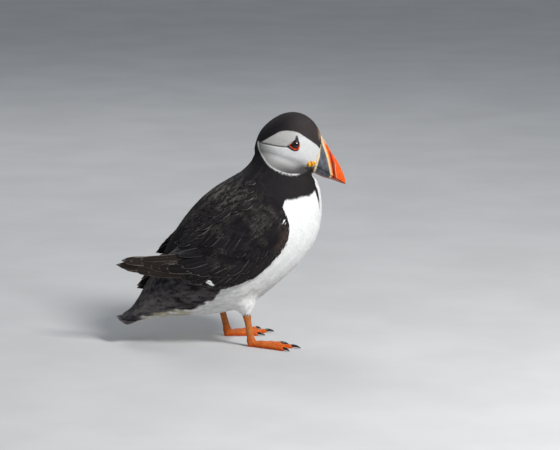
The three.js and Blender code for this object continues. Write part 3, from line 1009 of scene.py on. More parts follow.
def leg_tint(points):
    """Orange webs, browner scaly toes and shanks."""
    tint = np.tile(LEG_ORANGE, (len(points), 1))
    height = points[:, 2]
    return blend(tint, LEG_BROWN, ease(1.6, 3.2, height) * 0.55 + ease(6, 14, height) * 0.4)


def make_skin():
    """The skin of the whole bird, painted, and the part of the body at each of its points."""
    body = body_flesh()
    parts = nearest_parts(coordinates(body))
    relax(body, rounds=30)
    fill_back(body)
    fill_thigh(body)
    parts = refine_head(body, parts)
    relax(body, rounds=6)
    points = coordinates(body)
    set_coordinates(body, points - point_normals(body) * skin_depth(points, parts)[:, None])
    relax(body, rounds=4)
    sculpt_head(body, parts)
    slim_tail(body)
    tints = [plumage_tint(coordinates(body), parts == "wing")]
    shape = bmesh.new()
    shape.from_mesh(body)
    for name in SIDES:
        leg = leg_flesh(name)
        relax(leg, rounds=3)
        flat_soles(leg)
        tints.append(leg_tint(coordinates(leg)))
        shape.from_mesh(leg)
        parts = np.concatenate([parts, np.full(len(leg.vertices), "leg")])
        bpy.data.meshes.remove(leg)
    bpy.data.meshes.remove(body)
    mesh = mesh_of(shape)
    points = coordinates(mesh)
    shank = ease(BARE_HEIGHT + 0.6, BARE_HEIGHT - 0.6, points[:, 2]) * (np.abs(points[:, 0]) < 40)
    bare = np.maximum(parts == "leg", shank)
    paint(mesh, "tint", blend(np.concatenate(tints), LEG_BROWN, shank * (parts != "leg")))
    paint(mesh, "bare", bare[:, None] * np.ones((1, 3)))
    return mesh, parts


def unwrap(piece):
    """Gives a piece its OFBake map."""
    bpy.context.view_layer.objects.active = piece
    piece.select_set(True)
    piece.data.uv_layers.new(name="OFBake")
    bpy.ops.object.mode_set(mode="EDIT")
    bpy.ops.mesh.select_all(action="SELECT")
    bpy.ops.uv.smart_project(angle_limit=math.radians(66), island_margin=0.004)
    bpy.ops.object.mode_set(mode="OBJECT")
    piece.select_set(False)


# ---- Coat ---------------------------------------------------------------------------------------

class Roots:
    """Places on the skin where feathers can grow: triangles with their part and place on the map."""

    def __init__(self, mesh, parts):
        mesh.calc_loop_triangles()
        count = len(mesh.loop_triangles)
        corners = np.empty(count * 3, np.int32)
        mesh.loop_triangles.foreach_get("vertices", corners)
        loops = np.empty(count * 3, np.int32)
        mesh.loop_triangles.foreach_get("loops", loops)
        self.corners = corners.reshape(-1, 3)
        points = coordinates(mesh)
        self.triangles = points[self.corners]
        self.normals = point_normals(mesh)[self.corners]
        uvs = np.empty(len(mesh.loops) * 2, np.float32)
        mesh.uv_layers["OFBake"].data.foreach_get("uv", uvs)
        self.uvs = uvs.reshape(-1, 2)[loops.reshape(-1, 3)]
        self.parts = parts[self.corners[:, 0]]
        self.middles = self.triangles.mean(1)

    def scatter(self, wanted, spacing, rng):
        """Points over the wanted triangles, no two closer than the spacing: place, normal, map place."""
        chosen = np.flatnonzero(wanted)
        sides = self.triangles[chosen]
        areas = np.linalg.norm(np.cross(sides[:, 1] - sides[:, 0], sides[:, 2] - sides[:, 0]), axis=1) / 2
        count = int(areas.sum() / spacing ** 2 * 2.2)
        picks = chosen[rng.choice(len(chosen), count, p=areas / areas.sum())]
        weights = rng.dirichlet((1, 1, 1), count)
        points = (self.triangles[picks] * weights[:, :, None]).sum(1)
        tree = kdtree.KDTree(count)
        places = points.tolist()
        for i, place in enumerate(places):
            tree.insert(place, i)
        tree.balance()
        alive = np.ones(count, bool)
        for i, place in enumerate(places):
            if alive[i]:
                for _, other, _ in tree.find_range(place, spacing):
                    if other > i:
                        alive[other] = False
        normals = unit((self.normals[picks] * weights[:, :, None]).sum(1))
        uvs = (self.uvs[picks] * weights[:, :, None]).sum(1)
        return points[alive], normals[alive], uvs[alive]


def tuft_template(low, low_width, high, high_width):
    """A thin closed vane of 12 triangles: across, along and height of its points, and its faces."""
    shape = bmesh.new()
    bmesh.ops.create_cone(shape, cap_ends=True, segments=3, radius1=1, radius2=1, depth=1)
    caps = [f for f in shape.faces if len(f.verts) == 3]
    ends = bmesh.ops.poke(shape, faces=caps)["verts"]
    for vert in shape.verts:
        upper = vert.co.z > 0
        if vert in ends:
            vert.co = (0, 1, 0.2) if upper else (0, 0, 0)
            continue
        along, width = (high, high_width) if upper else (low, low_width)
        angle = math.atan2(vert.co.y, vert.co.x) - math.pi / 2
        ridge = abs(math.cos(angle)) > 0.9
        across = 0 if ridge else math.copysign(width / 2, vert.co.x)
        vert.co = (across, along, 1.0 if ridge else 0.0)
    bmesh.ops.triangulate(shape, faces=shape.faces)
    bmesh.ops.recalc_face_normals(shape, faces=shape.faces)
    points = np.array([v.co for v in shape.verts])
    faces = np.array([[v.index for v in f.verts] for f in shape.faces])
    shape.free()
    return points, faces


TUFT = tuft_template(low=0.28, low_width=0.9, high=0.68, high_width=0.8)
TUFT_ROOT = -0.12  # how far under the skin a tuft starts
TUFT_PATCH = 0.003  # how much of the skin's map a tuft covers


def mean_way(points, places, ways, reach):
    """The way at each point, from the ways at the places near it. Both are seen from the side."""
    gaps = (points[:, None, 0] - places[None, :, 0]) ** 2 + (points[:, None, 2] - places[None, :, 1]) ** 2
    weights = np.exp(-(gaps - gaps.min(1, keepdims=True)) / (2 * reach ** 2))
    return weights @ ways


def upright(ways):
    """Ways seen from the side, as ways in space."""
    return np.stack([ways[:, 0], np.zeros(len(ways)), ways[:, 1]], 1)


def body_lie(points):
    """The way the plumage lies: along the line down the middle of the body."""
    path = curve(SPINE, 60)
    mean = unit(mean_way(points, path, np.gradient(path, axis=0), 9.0))
    x, z = points[:, 0], points[:, 2]
    front = ease(50, 66, x) * ease(170, 160, z) * ease(70, 105, z)
    return upright(blend(mean, np.array((-0.12, -1.0)), front))


def belly_lie(points):
    """Like the rest of the body, but drawn down over the thighs."""
    x, y, z = points[:, 0], np.abs(points[:, 1]), points[:, 2]
    down = ease(-26, 2, x) * ease(42, 26, x) * ease(62, 42, z) * ease(3, 12, y)
    down = np.maximum(down, ease(34, 28, z) * (np.abs(x) < 30))
    return blend(body_lie(points), np.array((-0.22, 0.0, -0.97)), down * 0.92)


# The lie of the small feathers on the folded wing: place x, z and direction x, z.
WING_STROKES = np.array([
    (49, 126, -0.80, -0.60), (53, 106, -0.25, -0.97), (47, 94, -0.62, -0.78), (36, 80, -0.76, -0.65),
    (20, 68, -0.93, -0.36), (0, 62, -1.0, -0.12), (-25, 62, -1.0, -0.05), (35, 124, -0.95, -0.30),
    (15, 122, -0.80, -0.60), (38, 106, -0.55, -0.83), (22, 106, -0.40, -0.92), (8, 106, -0.35, -0.94),
    (-8, 106, -0.55, -0.83), (-24, 104, -0.80, -0.60), (20, 90, -0.80, -0.60), (0, 92, -0.86, -0.50),
    (-15, 88, -0.92, -0.38), (-35, 85, -0.97, -0.22), (-35, 70, -1.0, -0.08), (5, 78, -0.95, -0.30),
])


def wing_lie(points):
    """The way the small feathers of the folded wing lie."""
    return upright(mean_way(points, WING_STROKES[:, :2], WING_STROKES[:, 2:], 12.0))


def tangent(ways, normals):
    """Ways turned to run along a surface."""
    return unit(ways - normals * (ways * normals).sum(1, keepdims=True))


def comb(surface, points, normals, ways, lengths):
    """The middle lines of feathers that follow a surface: points and normals at each step."""
    steps = 3
    line = [points]
    ups = [normals]
    ways = tangent(ways, normals)
    for _ in range(steps):
        spots, found = surface.nearest(line[-1] + ways * (lengths / steps)[:, None])
        ways = unit(spots - line[-1])
        line.append(spots)
        ups.append(found)
    return np.stack(line, 1), np.stack(ups, 1)


def at_share(rows, share):
    """Values along each feather's middle line, at a share of its length."""
    place = share * (rows.shape[1] - 1)
    first = min(int(place), rows.shape[1] - 2)
    return rows[:, first] + (rows[:, first + 1] - rows[:, first]) * (place - first)


def tufts(line, ups, widths, rises, thick, uvs, tints):
    """A mesh of many small feathers on their middle lines, each rising from the skin to its tip."""
    shape, faces = TUFT
    places = np.empty((len(line), len(shape), 3))
    whole = unit(line[:, -1] - line[:, 0])
    for k, (across, along, height) in enumerate(shape):
        up = unit(at_share(ups, along))
        side = unit(np.cross(whole, up))
        lift = TUFT_ROOT + (rises - TUFT_ROOT) * along ** 0.6 + thick * (height - 0.3)
        places[:, k] = at_share(line, along) + side * (across * widths)[:, None] + up * lift[:, None]
    mesh, corners = repeated(faces, places)
    spread = uvs[:, None] + TUFT_PATCH * np.stack([shape[:, 0] * 0.9, shape[:, 1] - 0.5], 1)[None]
    add_map(mesh, "OFBake", spread.reshape(-1, 2)[corners])
    paint(mesh, "tint", tints.reshape(-1, 3))
    return mesh


def coat_piece(name, roots, surface, wanted, look, nodes, material, seed):
    """One piece of the coat over the wanted part of the skin."""
    rng = np.random.default_rng(SEED + seed)
    points, normals, uvs = roots.scatter(wanted, look["spacing"], rng)
    ways = tangent(look["lie"](points), normals)
    across = np.cross(normals, ways)
    ways = ways + across * rng.normal(0, look.get("spread", 0.14), len(points))[:, None]
    lengths = look["length"] * rng.uniform(0.8, 1.15, len(points))
    keep = np.ones(len(points), bool)
    if "keep" in look:
        lengths, keep = look["keep"](points, ways, lengths)
    points, normals, uvs, ways, lengths = (a[keep] for a in (points, normals, uvs, ways, lengths))
    line, ups = comb(surface, points, normals, ways, lengths)
    count = len(points)
    shares = TUFT[0][:, 1]
    places = np.stack([at_share(line, share) for share in shares], 1)
    tints = plumage_tint(places.reshape(-1, 3), look.get("on_wing", False)).reshape(count, -1, 3)
    tints = tints * rng.uniform(1 - look["vary"], 1 + look["vary"], count)[:, None, None]
    dark = ease(0.3, 0.15, tints.mean(2))
    patchy = ease(-0.4, 1.4, mottle(points, 14, 31) + 0.8 * mottle(points, 4, 32))
    worn = look.get("worn", 0.0) * rng.uniform(0.2, 1.0, count) ** 2 * patchy
    worn = worn * ease(162, 146, points[:, 2])
    tints = tints * (1 - 0.12 * dark * (1 - shares))[:, :, None]
    tints = blend(tints, WORN, worn[:, None] * dark * shares ** 3)
    widths = look["width"] * (lengths / lengths.mean()) ** 0.5 * rng.uniform(0.85, 1.15, count)
    rises = rng.uniform(look.get("even", 0.75), 1.0, count) * look["depth"]
    mesh = tufts(line, ups, widths, rises, look["thick"], uvs, tints)
    finished(name, mesh, nodes, material, smooth=False)


def clear_of_bare_skin(points, ways, lengths):
    """Keeps feathers off the eye, its trim and the mouth's pads, and shortens those that would
    cover the eye."""
    flat = points[:, [0, 2]]
    tips = flat + unit(ways)[:, [0, 2]] * lengths[:, None]
    pad_gap = np.hypot(*((flat - GAPE_BARE) / GAPE_BARE_HALF).T)
    eye_gap = depth_inside(EYE_BARE, flat[:, 0], flat[:, 1])
    eye_tip = depth_inside(EYE_BARE, tips[:, 0], tips[:, 1])
    short = eye_tip > -0.3
    lengths = np.where(short, np.clip(-eye_gap, 0.5, lengths), lengths)
    bill_gap = line_x(CERE_LINE, flat[:, 1]) + CERE_OVERLAP - flat[:, 0]
    keep = (eye_gap < 0) & (pad_gap > 0.95) & (bill_gap > 0)
    return lengths, keep


def make_coat(skin, parts, surface):
    """Covers the skin in small feathers, one piece for each kind and place."""
    roots = Roots(skin, parts)
    part = roots.parts
    inside_face = (part == "head") & (face_depth(roots.middles) > -0.2)
    soft = plumage_material("White feathers", sheen=0.06, roughness=0.85)
    black = plumage_material("Black feathers", sheen=0.01)
    pale = plumage_material("Cheek feathers", sheen=0.08, roughness=0.8)
    velvet = plumage_material("Cap and collar feathers", sheen=0.03, roughness=0.62)
    white = white_share(roots.middles) > 0.5
    # Depth is how far the tips rise and vary how much the colour differs from feather to feather.
    # Spread is how unevenly they lie, worn how far dark tips are faded and even how level the tips are.
    face = {"spacing": 0.375, "lie": body_lie, "length": 2.8, "width": 0.75, "depth": 0.32, "thick": 0.06,
            "vary": 0.035, "keep": clear_of_bare_skin, "spread": 0.08}
    cap = {"spacing": 0.43, "lie": body_lie, "length": 3.4, "width": 0.85, "depth": 0.4, "thick": 0.08,
           "vary": 0.12}
    neck = {"spacing": 0.48, "lie": body_lie, "length": 4.6, "width": 1.0, "depth": 0.5, "thick": 0.08,
            "vary": 0.10, "spread": 0.1}
    breast = {"spacing": 0.60, "lie": belly_lie, "length": 7.5, "width": 1.1, "depth": 0.6, "thick": 0.08,
              "vary": 0.03, "spread": 0.09, "even": 0.9}
    back = {"spacing": 0.72, "lie": body_lie, "length": 7.0, "width": 1.6, "depth": 0.85, "thick": 0.12,
            "vary": 0.18, "worn": 0.95}
    thigh = {"spacing": 0.55, "lie": belly_lie, "length": 6.0, "width": 0.9, "depth": 0.6, "thick": 0.1,
             "vary": 0.05, "spread": 0.12}
    tail = {"spacing": 0.68, "lie": body_lie, "length": 8.0, "width": 1.2, "depth": 0.9, "thick": 0.12,
            "vary": 0.22, "worn": 0.8, "spread": 0.12}
    wing = {"spacing": 0.75, "lie": wing_lie, "length": 6.5, "width": 1.5, "depth": 0.75, "thick": 0.1,
            "vary": 0.16, "worn": 0.8, "on_wing": True}
    trunk = part == "trunk"
    front = roots.middles[:, 0] > 30
    chest = (trunk & white & front) | ((part == "neck") & white)
    plan = [
        ("coat_face", inside_face, face, "head", "head_plumage", pale),
        ("coat_cap", (part == "head") & ~inside_face, cap, "head", "head_plumage", velvet),
        ("coat_neck", (part == "neck") & ~white, neck, "neck", "neck_plumage", velvet),
        ("coat_breast", chest, breast, "trunk", "body_plumage", soft),
        ("coat_belly", trunk & white & ~front, breast, "trunk", "body_plumage", soft),
        ("coat_back", trunk & ~white, back, "trunk", "body_plumage", black),
        ("coat_tail", part == "tail", tail, "tail", "tail_plumage", black),
    ]
    for name, side in SIDES.items():
        here = np.sign(roots.middles[:, 1]) == side
        on_thigh = here & (part == "thigh") & (roots.middles[:, 2] > BARE_HEIGHT)
        on_wing = here & (part == "wing")
        plan.append((f"coat_thigh_{name}", on_thigh, thigh, f"thigh_{name}", "body_plumage", soft))
        plan.append((f"coat_wing_{name}", on_wing, wing, f"wing_{name}", "wing_plumage", black))
    for seed, (name, wanted, look, node, slot, material) in enumerate(plan):
        coat_piece(name, roots, surface, wanted, look, [node], material, seed)


# ---- Long feathers ------------------------------------------------------------------------------

def vane_template(across, along, tip, root=0.4):
    """A thin closed blade with a domed back: its points, faces, and its corners' places on the tile of
    one feather and on the vane. Points are across, along, camber and 1 on the underside. The tip is
    the share of the length that is rounded off."""
    shape = bmesh.new()
    bmesh.ops.create_grid(shape, x_segments=across, y_segments=along, size=0.5)
    bmesh.ops.solidify(shape, geom=shape.faces[:], thickness=1.0)
    middle = sum(v.co.z for v in shape.verts) / len(shape.verts)
    bmesh.ops.triangulate(shape, faces=shape.faces)
    flat = np.array([v.co for v in shape.verts])
    faces = np.array([[v.index for v in f.verts] for f in shape.faces])
    shape.free()
    under = (flat[:, 2] < middle).astype(float)
    u, v = flat[:, 0], flat[:, 1] + 0.5
    end = np.clip((v - (1 - tip)) / tip, 0, 1)
    width = (root + (1 - root) * ease(0, 0.45, v)) * np.sqrt(np.maximum(1 - end ** 2.2, 0.002))
    points = np.stack([u * width, v, 1 - 4 * u ** 2, under], 1)
    mixed = under[faces].sum(1)
    rim = (mixed > 0) & (mixed < 3)
    below = np.where(rim, 0, mixed == 3)
    corner_u = u[faces] + 0.5
    corner_v = v[faces]
    outwards = np.where(rim[:, None] & (under[faces] > 0), 1.0, 0.0)
    side_u = 0.03 + corner_u * 0.42 + 0.02 * outwards * np.sign(corner_u - 0.5)
    side_v = 0.04 + 0.92 * corner_v + 0.02 * outwards * (corner_v > 0.5)
    tile = np.stack([side_u + 0.5 * below[:, None], side_v], 2)
    return {"points": points, "faces": faces, "tile": tile, "vane": np.stack([corner_u, corner_v], 2)}


ROUND_VANE = vane_template(across=6, along=10, tip=0.28)
LONG_VANE = vane_template(across=6, along=14, tip=0.22, root=0.6)
STEPS = 8  # points on the middle line of a long feather


class Vanes:
    """Gathers long feathers of one kind into one mesh."""

    def __init__(self, template):
        self.template = template
        self.lines = []
        self.ups = []
        self.looks = []
        self.tints = []
        self.fringes = []

    def add(self, line, ups, width, tint, fringe, camber, thick, tilt=0.0):
        """One feather on its middle line. The fringe is the colour of its worn edge."""
        self.lines.append(line)
        self.ups.append(ups)
        self.looks.append((width, camber, thick, tilt))
        self.tints.append(tint)
        self.fringes.append(fringe)

    def mesh(self):
        shape = self.template["points"]
        lines = np.array(self.lines)
        ups = np.array(self.ups)
        width, camber, thick, tilt = np.array(self.looks).T
        count = len(lines)
        whole = unit(lines[:, -1] - lines[:, 0])
        places = np.empty((count, len(shape), 3))
        for k, (across, along, dome, under) in enumerate(shape):
            up = unit(at_share(ups, along))
            side = unit(np.cross(whole, up))
            rise = camber * dome + tilt * across - thick * under * (1 - 0.5 * along)
            places[:, k] = at_share(lines, along) + side * (across * width)[:, None] + up * rise[:, None]
        mesh, _ = repeated(self.template["faces"], places)
        cells = math.ceil(math.sqrt(count))
        cell = np.stack([np.arange(count) % cells, np.arange(count) // cells], 1)
        tiles = (cell[:, None, None] + self.template["tile"][None]) / cells
        add_map(mesh, "OFBake", tiles)
        add_map(mesh, "Vane", np.broadcast_to(self.template["vane"][None], tiles.shape))
        paint(mesh, "tint", np.repeat(np.array(self.tints), len(shape), 0))
        paint(mesh, "fringe", np.repeat(np.array(self.fringes), len(shape), 0))
        chances = np.random.default_rng(SEED).uniform(0, 50, (count, 1)) * np.ones((1, 3))
        paint(mesh, "chance", np.repeat(chances, len(shape), 0))
        return mesh


def laid(form, side, root, tip, lift, bow):
    """The middle line of a long feather seen from the side, from root to tip, laid on the bird."""
    share = np.linspace(0, 1, STEPS)
    root, tip = np.array(root), np.array(tip)
    way = tip - root
    across = np.array((-way[1], way[0])) / np.linalg.norm(way)
    flat = root + share[:, None] * way + (4 * share * (1 - share) * bow)[:, None] * across
    spots, ups = form.from_side(side, flat[:, 0], flat[:, 1])
    for _ in range(3):
        spots[1:-1, 1] = (spots[:-2, 1] + 2 * spots[1:-1, 1] + spots[2:, 1]) / 4
        ups[1:-1] = unit(ups[:-2] + 2 * ups[1:-1] + ups[2:])
    lifts = lift[0] + (lift[1] - lift[0]) * share
    return spots + ups * lifts[:, None], ups


# Rows of long feathers on each wing, the lowest layer first: secondaries, greater coverts, median
# coverts and the coverts of the wrist. Roots and tips are lines seen from the side: x, z. The lift is
# how far the root and tip stand over the bird's outline, negative under it.
WING_ROWS = [
    {"count": 13, "width": 8.5, "lift": (-1.5, -0.55), "tilt": 1.0, "bow": 2.0, "tint": 1.0, "fringe": 0.7,
     "roots": [(44, 98), (34, 88), (20, 82), (4, 82), (-12, 84)],
     "tips": [(19, 68), (8, 62.3), (-4, 59), (-16, 58), (-30, 60.5), (-44, 65.5)]},
    {"count": 15, "width": 8.0, "lift": (-2.4, -0.1), "tilt": 1.0, "bow": 1.5, "tint": 1.0, "fringe": 1.0,
     "roots": [(42, 104), (28, 96), (12, 94), (-4, 98), (-12, 102)],
     "tips": [(27, 79), (14, 72), (-4, 68.5), (-22, 68.5), (-36, 70.5), (-45, 76), (-48.6, 84), (-46, 92),
              (-39, 99)]},
    {"count": 11, "width": 8.0, "lift": (-3.2, -0.1), "tilt": 0.8, "bow": 0.6, "tint": 0.95, "fringe": 0.5,
     "roots": [(46, 112), (32, 111), (16, 112), (0, 116), (-14, 114)],
     "tips": [(36, 88), (22, 84), (8, 86), (-5, 90), (-18, 94), (-29, 96.5)]},
    {"count": 10, "width": 5.0, "lift": (-2.2, -0.15), "tilt": 0.6, "bow": -1.2, "tint": 1.2, "fringe": 0.5,
     "roots": [(50, 118), (47, 112), (42, 106), (36, 100)],
     "tips": [(51.5, 104), (48.5, 96.5), (43.5, 90), (37, 83.5), (30, 79)]},
]
# Rows of shoulder feathers, the lowest first. Shift is how far up from the edge over the wing a row
# ends, and reach is how long its feathers are.
SHOULDER_ROWS = [
    {"count": 15, "width": 7.0, "bow": 1.0, "shift": 0, "reach": 25},
    {"count": 14, "width": 6.5, "bow": 0.8, "shift": 7, "reach": 22},
    {"count": 13, "width": 6.0, "bow": 0.6, "shift": 14, "reach": 19},
    {"count": 11, "width": 5.5, "bow": 0.5, "shift": 21, "reach": 16},
]
SHOULDER_LIFT = (-2.8, 0.0)
TIP_SCATTER = 0.9
ROOT_SCATTER = 1.2
FLIGHT_BOW = 1.0
# Flight feathers: root and tip seen from the side, width, and lift of root and tip.
PRIMARIES = {
    "right": [
        ((-20, 72), (-102.6, 74.6), 7.5, (-3.6, -0.75)), ((-22, 74), (-97.5, 71.8), 7.5, (-3.4, -1.5)),
        ((-24, 84), (-97.4, 79.0), 8.5, (-3.0, -0.55)), ((-24, 82), (-90.0, 78.6), 9.0, (-2.6, -0.45)),
        ((-22, 74), (-85.5, 70.2), 8.5, (-2.3, -0.8)), ((-24, 81), (-80.0, 77.0), 9.5, (-2.0, -0.45)),
        ((-22, 72), (-74.0, 69.4), 8.5, (-1.8, -0.5)), ((-22, 80), (-71.5, 74.6), 9.5, (-1.5, -0.3)),
        ((-20, 79), (-64.0, 73.4), 9.5, (-1.2, -0.2)), ((-20, 78), (-56.5, 74.0), 9.5, (-1.0, -0.1)),
        ((-22, 90), (-80.5, 80.6), 6.0, (-1.3, -0.3)),
    ],
    "left": [
        ((-16, 74), (-88.0, 43.4), 7.5, (-3.4, -0.6)), ((-16, 78), (-86.0, 47.0), 8.0, (-3.0, -0.8)),
        ((-16, 82), (-82.0, 52.5), 8.5, (-2.7, -0.7)), ((-18, 76), (-76.0, 48.5), 8.5, (-2.4, -0.9)),
        ((-18, 84), (-77.5, 59.5), 9.0, (-2.1, -0.6)), ((-18, 74), (-68.0, 51.5), 8.5, (-1.9, -0.7)),
        ((-18, 86), (-71.0, 67.0), 9.0, (-1.7, -0.4)), ((-18, 80), (-64.0, 59.0), 9.0, (-1.4, -0.4)),
        ((-18, 88), (-63.0, 74.0), 9.0, (-1.2, -0.3)), ((-18, 78), (-56.0, 64.0), 9.0, (-1.0, -0.2)),
        ((-20, 94), (-62.0, 80.0), 7.0, (-1.1, -0.2)), ((-16, 96), (-69.0, 75.5), 8.0, (-1.8, -0.4)),
        ((-14, 100), (-66.0, 79.5), 9.0, (-1.5, -0.3)), ((-12, 104), (-62.5, 83.5), 9.0, (-1.3, -0.2)),
        ((-10, 108), (-58.5, 87.5), 9.0, (-1.2, -0.1)), ((-8, 112), (-54.0, 92.0), 9.0, (-1.2, 0.0)),
    ],
}


def wing_vane_tint(place, rng, gain):
    """Dark brown-black, warmer at the wrist, on the flight feathers and at the worn rear edge."""
    x, z = place
    brown = float(np.clip((x - 34) / 14, 0, 1) * (z < 116) + np.clip((-52 - x) / 20, 0, 1) * 0.9)
    tint = BLACK + (WING_BROWN - BLACK) * min(brown, 1)
    return tint * gain * rng.uniform(0.75, 1.25)


def faded(tint, worn, share):
    """The colour of a feather's worn edge, that share of the way from its tint to a worn one."""
    return tint + (worn - tint) * share


def make_wing_feathers(form):
    """Rows of coverts and secondaries on each folded wing, and the flight feathers behind them."""
    material = vane_material("Wing feathers")
    for name, side in SIDES.items():
        rng = np.random.default_rng(SEED + 40)
        vanes = Vanes(ROUND_VANE)
        for row in WING_ROWS:
            share = (np.arange(row["count"]) + 0.5) / row["count"]
            roots = curve(row["roots"], 101)[(share * 100).astype(int)]
            tips = curve(row["tips"], 101)[(share * 100).astype(int)]
            for root, tip in zip(roots, tips):
                tip = tip + rng.normal(0, TIP_SCATTER, 2)
                root = root + rng.normal(0, ROOT_SCATTER, 2)
                line, ups = laid(form, side, root, tip, row["lift"], row["bow"])
                tint = wing_vane_tint(tip, rng, row["tint"])
                fringe = faded(tint, WORN, row["fringe"] * rng.uniform(0.3, 1.6))
                width = row["width"] * rng.uniform(0.9, 1.1)
                tilt = 0.5 * row["tilt"] * side
                vanes.add(line, ups, width, tint, fringe, camber=0.35, thick=0.25, tilt=tilt)
        finished(f"wing_vanes_{name}", vanes.mesh(), [f"wing_{name}"], material)
        blades = Vanes(LONG_VANE)
        for root, tip, width, lift in PRIMARIES[name]:
            line, ups = laid(form, side, root, tip, lift, FLIGHT_BOW)
            tint = wing_vane_tint(tip, rng, 1.0)
            fringe = faded(tint, WORN * 1.9, rng.uniform(0.35, 1.0))
            blades.add(line, ups, width, tint, fringe, camber=0.3, thick=0.35, tilt=0.3 * side)
        finished(f"flight_feathers_{name}", blades.mesh(), [f"wing_{name}"], material)


# White feathers of the flank that show over the lower edge of the wing: root and tip, x and z.
FLANK_FEATHERS = [
    ((-5, 58.8), (-21.6, 63.4)), ((-4, 60.0), (-20.6, 64.4)), ((-4, 57.8), (-19.4, 62.0)),
]
FLANK_WIDTH = 2.7
FLANK_LIFT = (-3.2, 0.2)
FLANK_BOW = 0.4


def make_flank_feathers(form):
    """The few white feathers that lie over the lower edge of each wing."""
    material = vane_material("Flank feathers", roughness=0.8)
    for name, side in SIDES.items():
        vanes = Vanes(LONG_VANE)
        for root, tip in FLANK_FEATHERS:
            line, ups = laid(form, side, root, tip, FLANK_LIFT, FLANK_BOW)
            look = {"camber": 0.3, "thick": 0.2, "tilt": 0.2 * side}
            vanes.add(line, ups, FLANK_WIDTH, WHITE * 0.8, WHITE * 0.7, **look)
        finished(f"flank_vanes_{name}", vanes.mesh(), ["trunk"], material)


def make_shoulder_feathers(form):
    """Rows of feathers that hang from each shoulder over the top of the wing."""
    material = vane_material("Shoulder feathers", roughness=0.6)
    edge = curve(SCAPULAR_EDGE[2:], 101)
    for name, side in SIDES.items():
        rng = np.random.default_rng(SEED + 50)
        vanes = Vanes(ROUND_VANE)
        for row in SHOULDER_ROWS:
            for t in (np.arange(row["count"]) + 0.5) / row["count"]:
                end = int(14 + t * (86 - row["shift"]))
                tip = edge[end] + row["shift"] * np.array((0.30, 0.95)) + rng.normal(0, 0.6, 2)
                way = np.array((0.80 - 0.14 * (1 - t), 0.60 + 0.10 * (1 - t)))
                root = tip + way * row["reach"] * rng.uniform(0.85, 1.1)
                line, ups = laid(form, side, root, tip, SHOULDER_LIFT, row["bow"])
                tint = BLACK * rng.uniform(0.9, 1.5)
                fringe = faded(tint, WORN * 1.9, rng.uniform(0.2, 1.0))
                width = row["width"] * rng.uniform(0.85, 1.1)
                vanes.add(line, ups, width, tint, fringe, camber=0.4, thick=0.22, tilt=0.35 * side)
        finished(f"shoulder_vanes_{name}", vanes.mesh(), ["trunk"], material)


TAIL_PAIRS = 7  # long feathers on each half of the tail
TAIL_COVERTS = 26  # shorter feathers over their roots
TAIL_HALF = 16.0  # distance of the outermost feather's tip from the middle one's
TAIL_SAG = 1.2
TAIL_WIDTH = 6.2
COVERT_WIDTH = 4.2
COVERT_ENDS = (-99, -84)  # between which x they end


def straight(root, tip):
    """The middle line of a straight feather, and the share of its length at each point."""
    share = np.linspace(0, 1, STEPS)[:, None]
    return root + (tip - root) * share, share


def make_tail_feathers():
    """A short fan of rounded feathers, the middle pair on top."""
    material = vane_material("Tail feathers", roughness=0.6)
    rng = np.random.default_rng(SEED + 60)
    vanes = Vanes(LONG_VANE)
    for pair in range(TAIL_PAIRS):
        middle = pair / (TAIL_PAIRS - 1)
        for side in (-1, 1):
            out = TAIL_HALF * (1 - middle) + 1.2
            root = np.array((-74.0, side * (3 + 0.5 * out), 29.5 + 3.5 * middle))
            reach = -96.0 - 7.2 * middle ** 0.7 + rng.uniform(-0.4, 1.2) * (middle < 1)
            tip = np.array((reach, side * out, 19.8 + 2.4 * middle + rng.uniform(-0.5, 0.5)))
            line, share = straight(root, tip)
            line = line - np.array((0, 0, TAIL_SAG)) * np.sin(share * math.pi)
            ups = unit(np.tile((-0.35, side * 0.5 * (1 - middle), 1.0), (STEPS, 1)))
            tint = SOOT * rng.uniform(0.7, 1.2)
            fringe = faded(tint, WORN * 1.4, rng.uniform(0.4, 1.0))
            vanes.add(line, ups, TAIL_WIDTH, tint, fringe, camber=0.4, thick=0.4, tilt=-0.3 * side)
    for _ in range(TAIL_COVERTS):
        out = rng.uniform(-1, 1) * 13
        end = rng.uniform(*COVERT_ENDS)
        height = np.interp(end, COVERT_ENDS, [22.5, 30.5]) - 0.022 * out ** 2
        tip = np.array((end, out, height))
        root = tip + np.array((13.0, -0.2 * out, 6.5))
        line, _ = straight(root, tip)
        ups = unit(np.tile((-0.4, 0.09 * out, 1.0), (STEPS, 1)))
        tint = SOOT * rng.uniform(0.6, 1.3)
        fringe = faded(tint, WORN * 1.6, rng.uniform(0.4, 1.0))
        vanes.add(line, ups, COVERT_WIDTH, tint, fringe, camber=0.4, thick=0.3)
    finished("tail_vanes", vanes.mesh(), ["tail"], material)


# ---- Bill ---------------------------------------------------------------------------------------

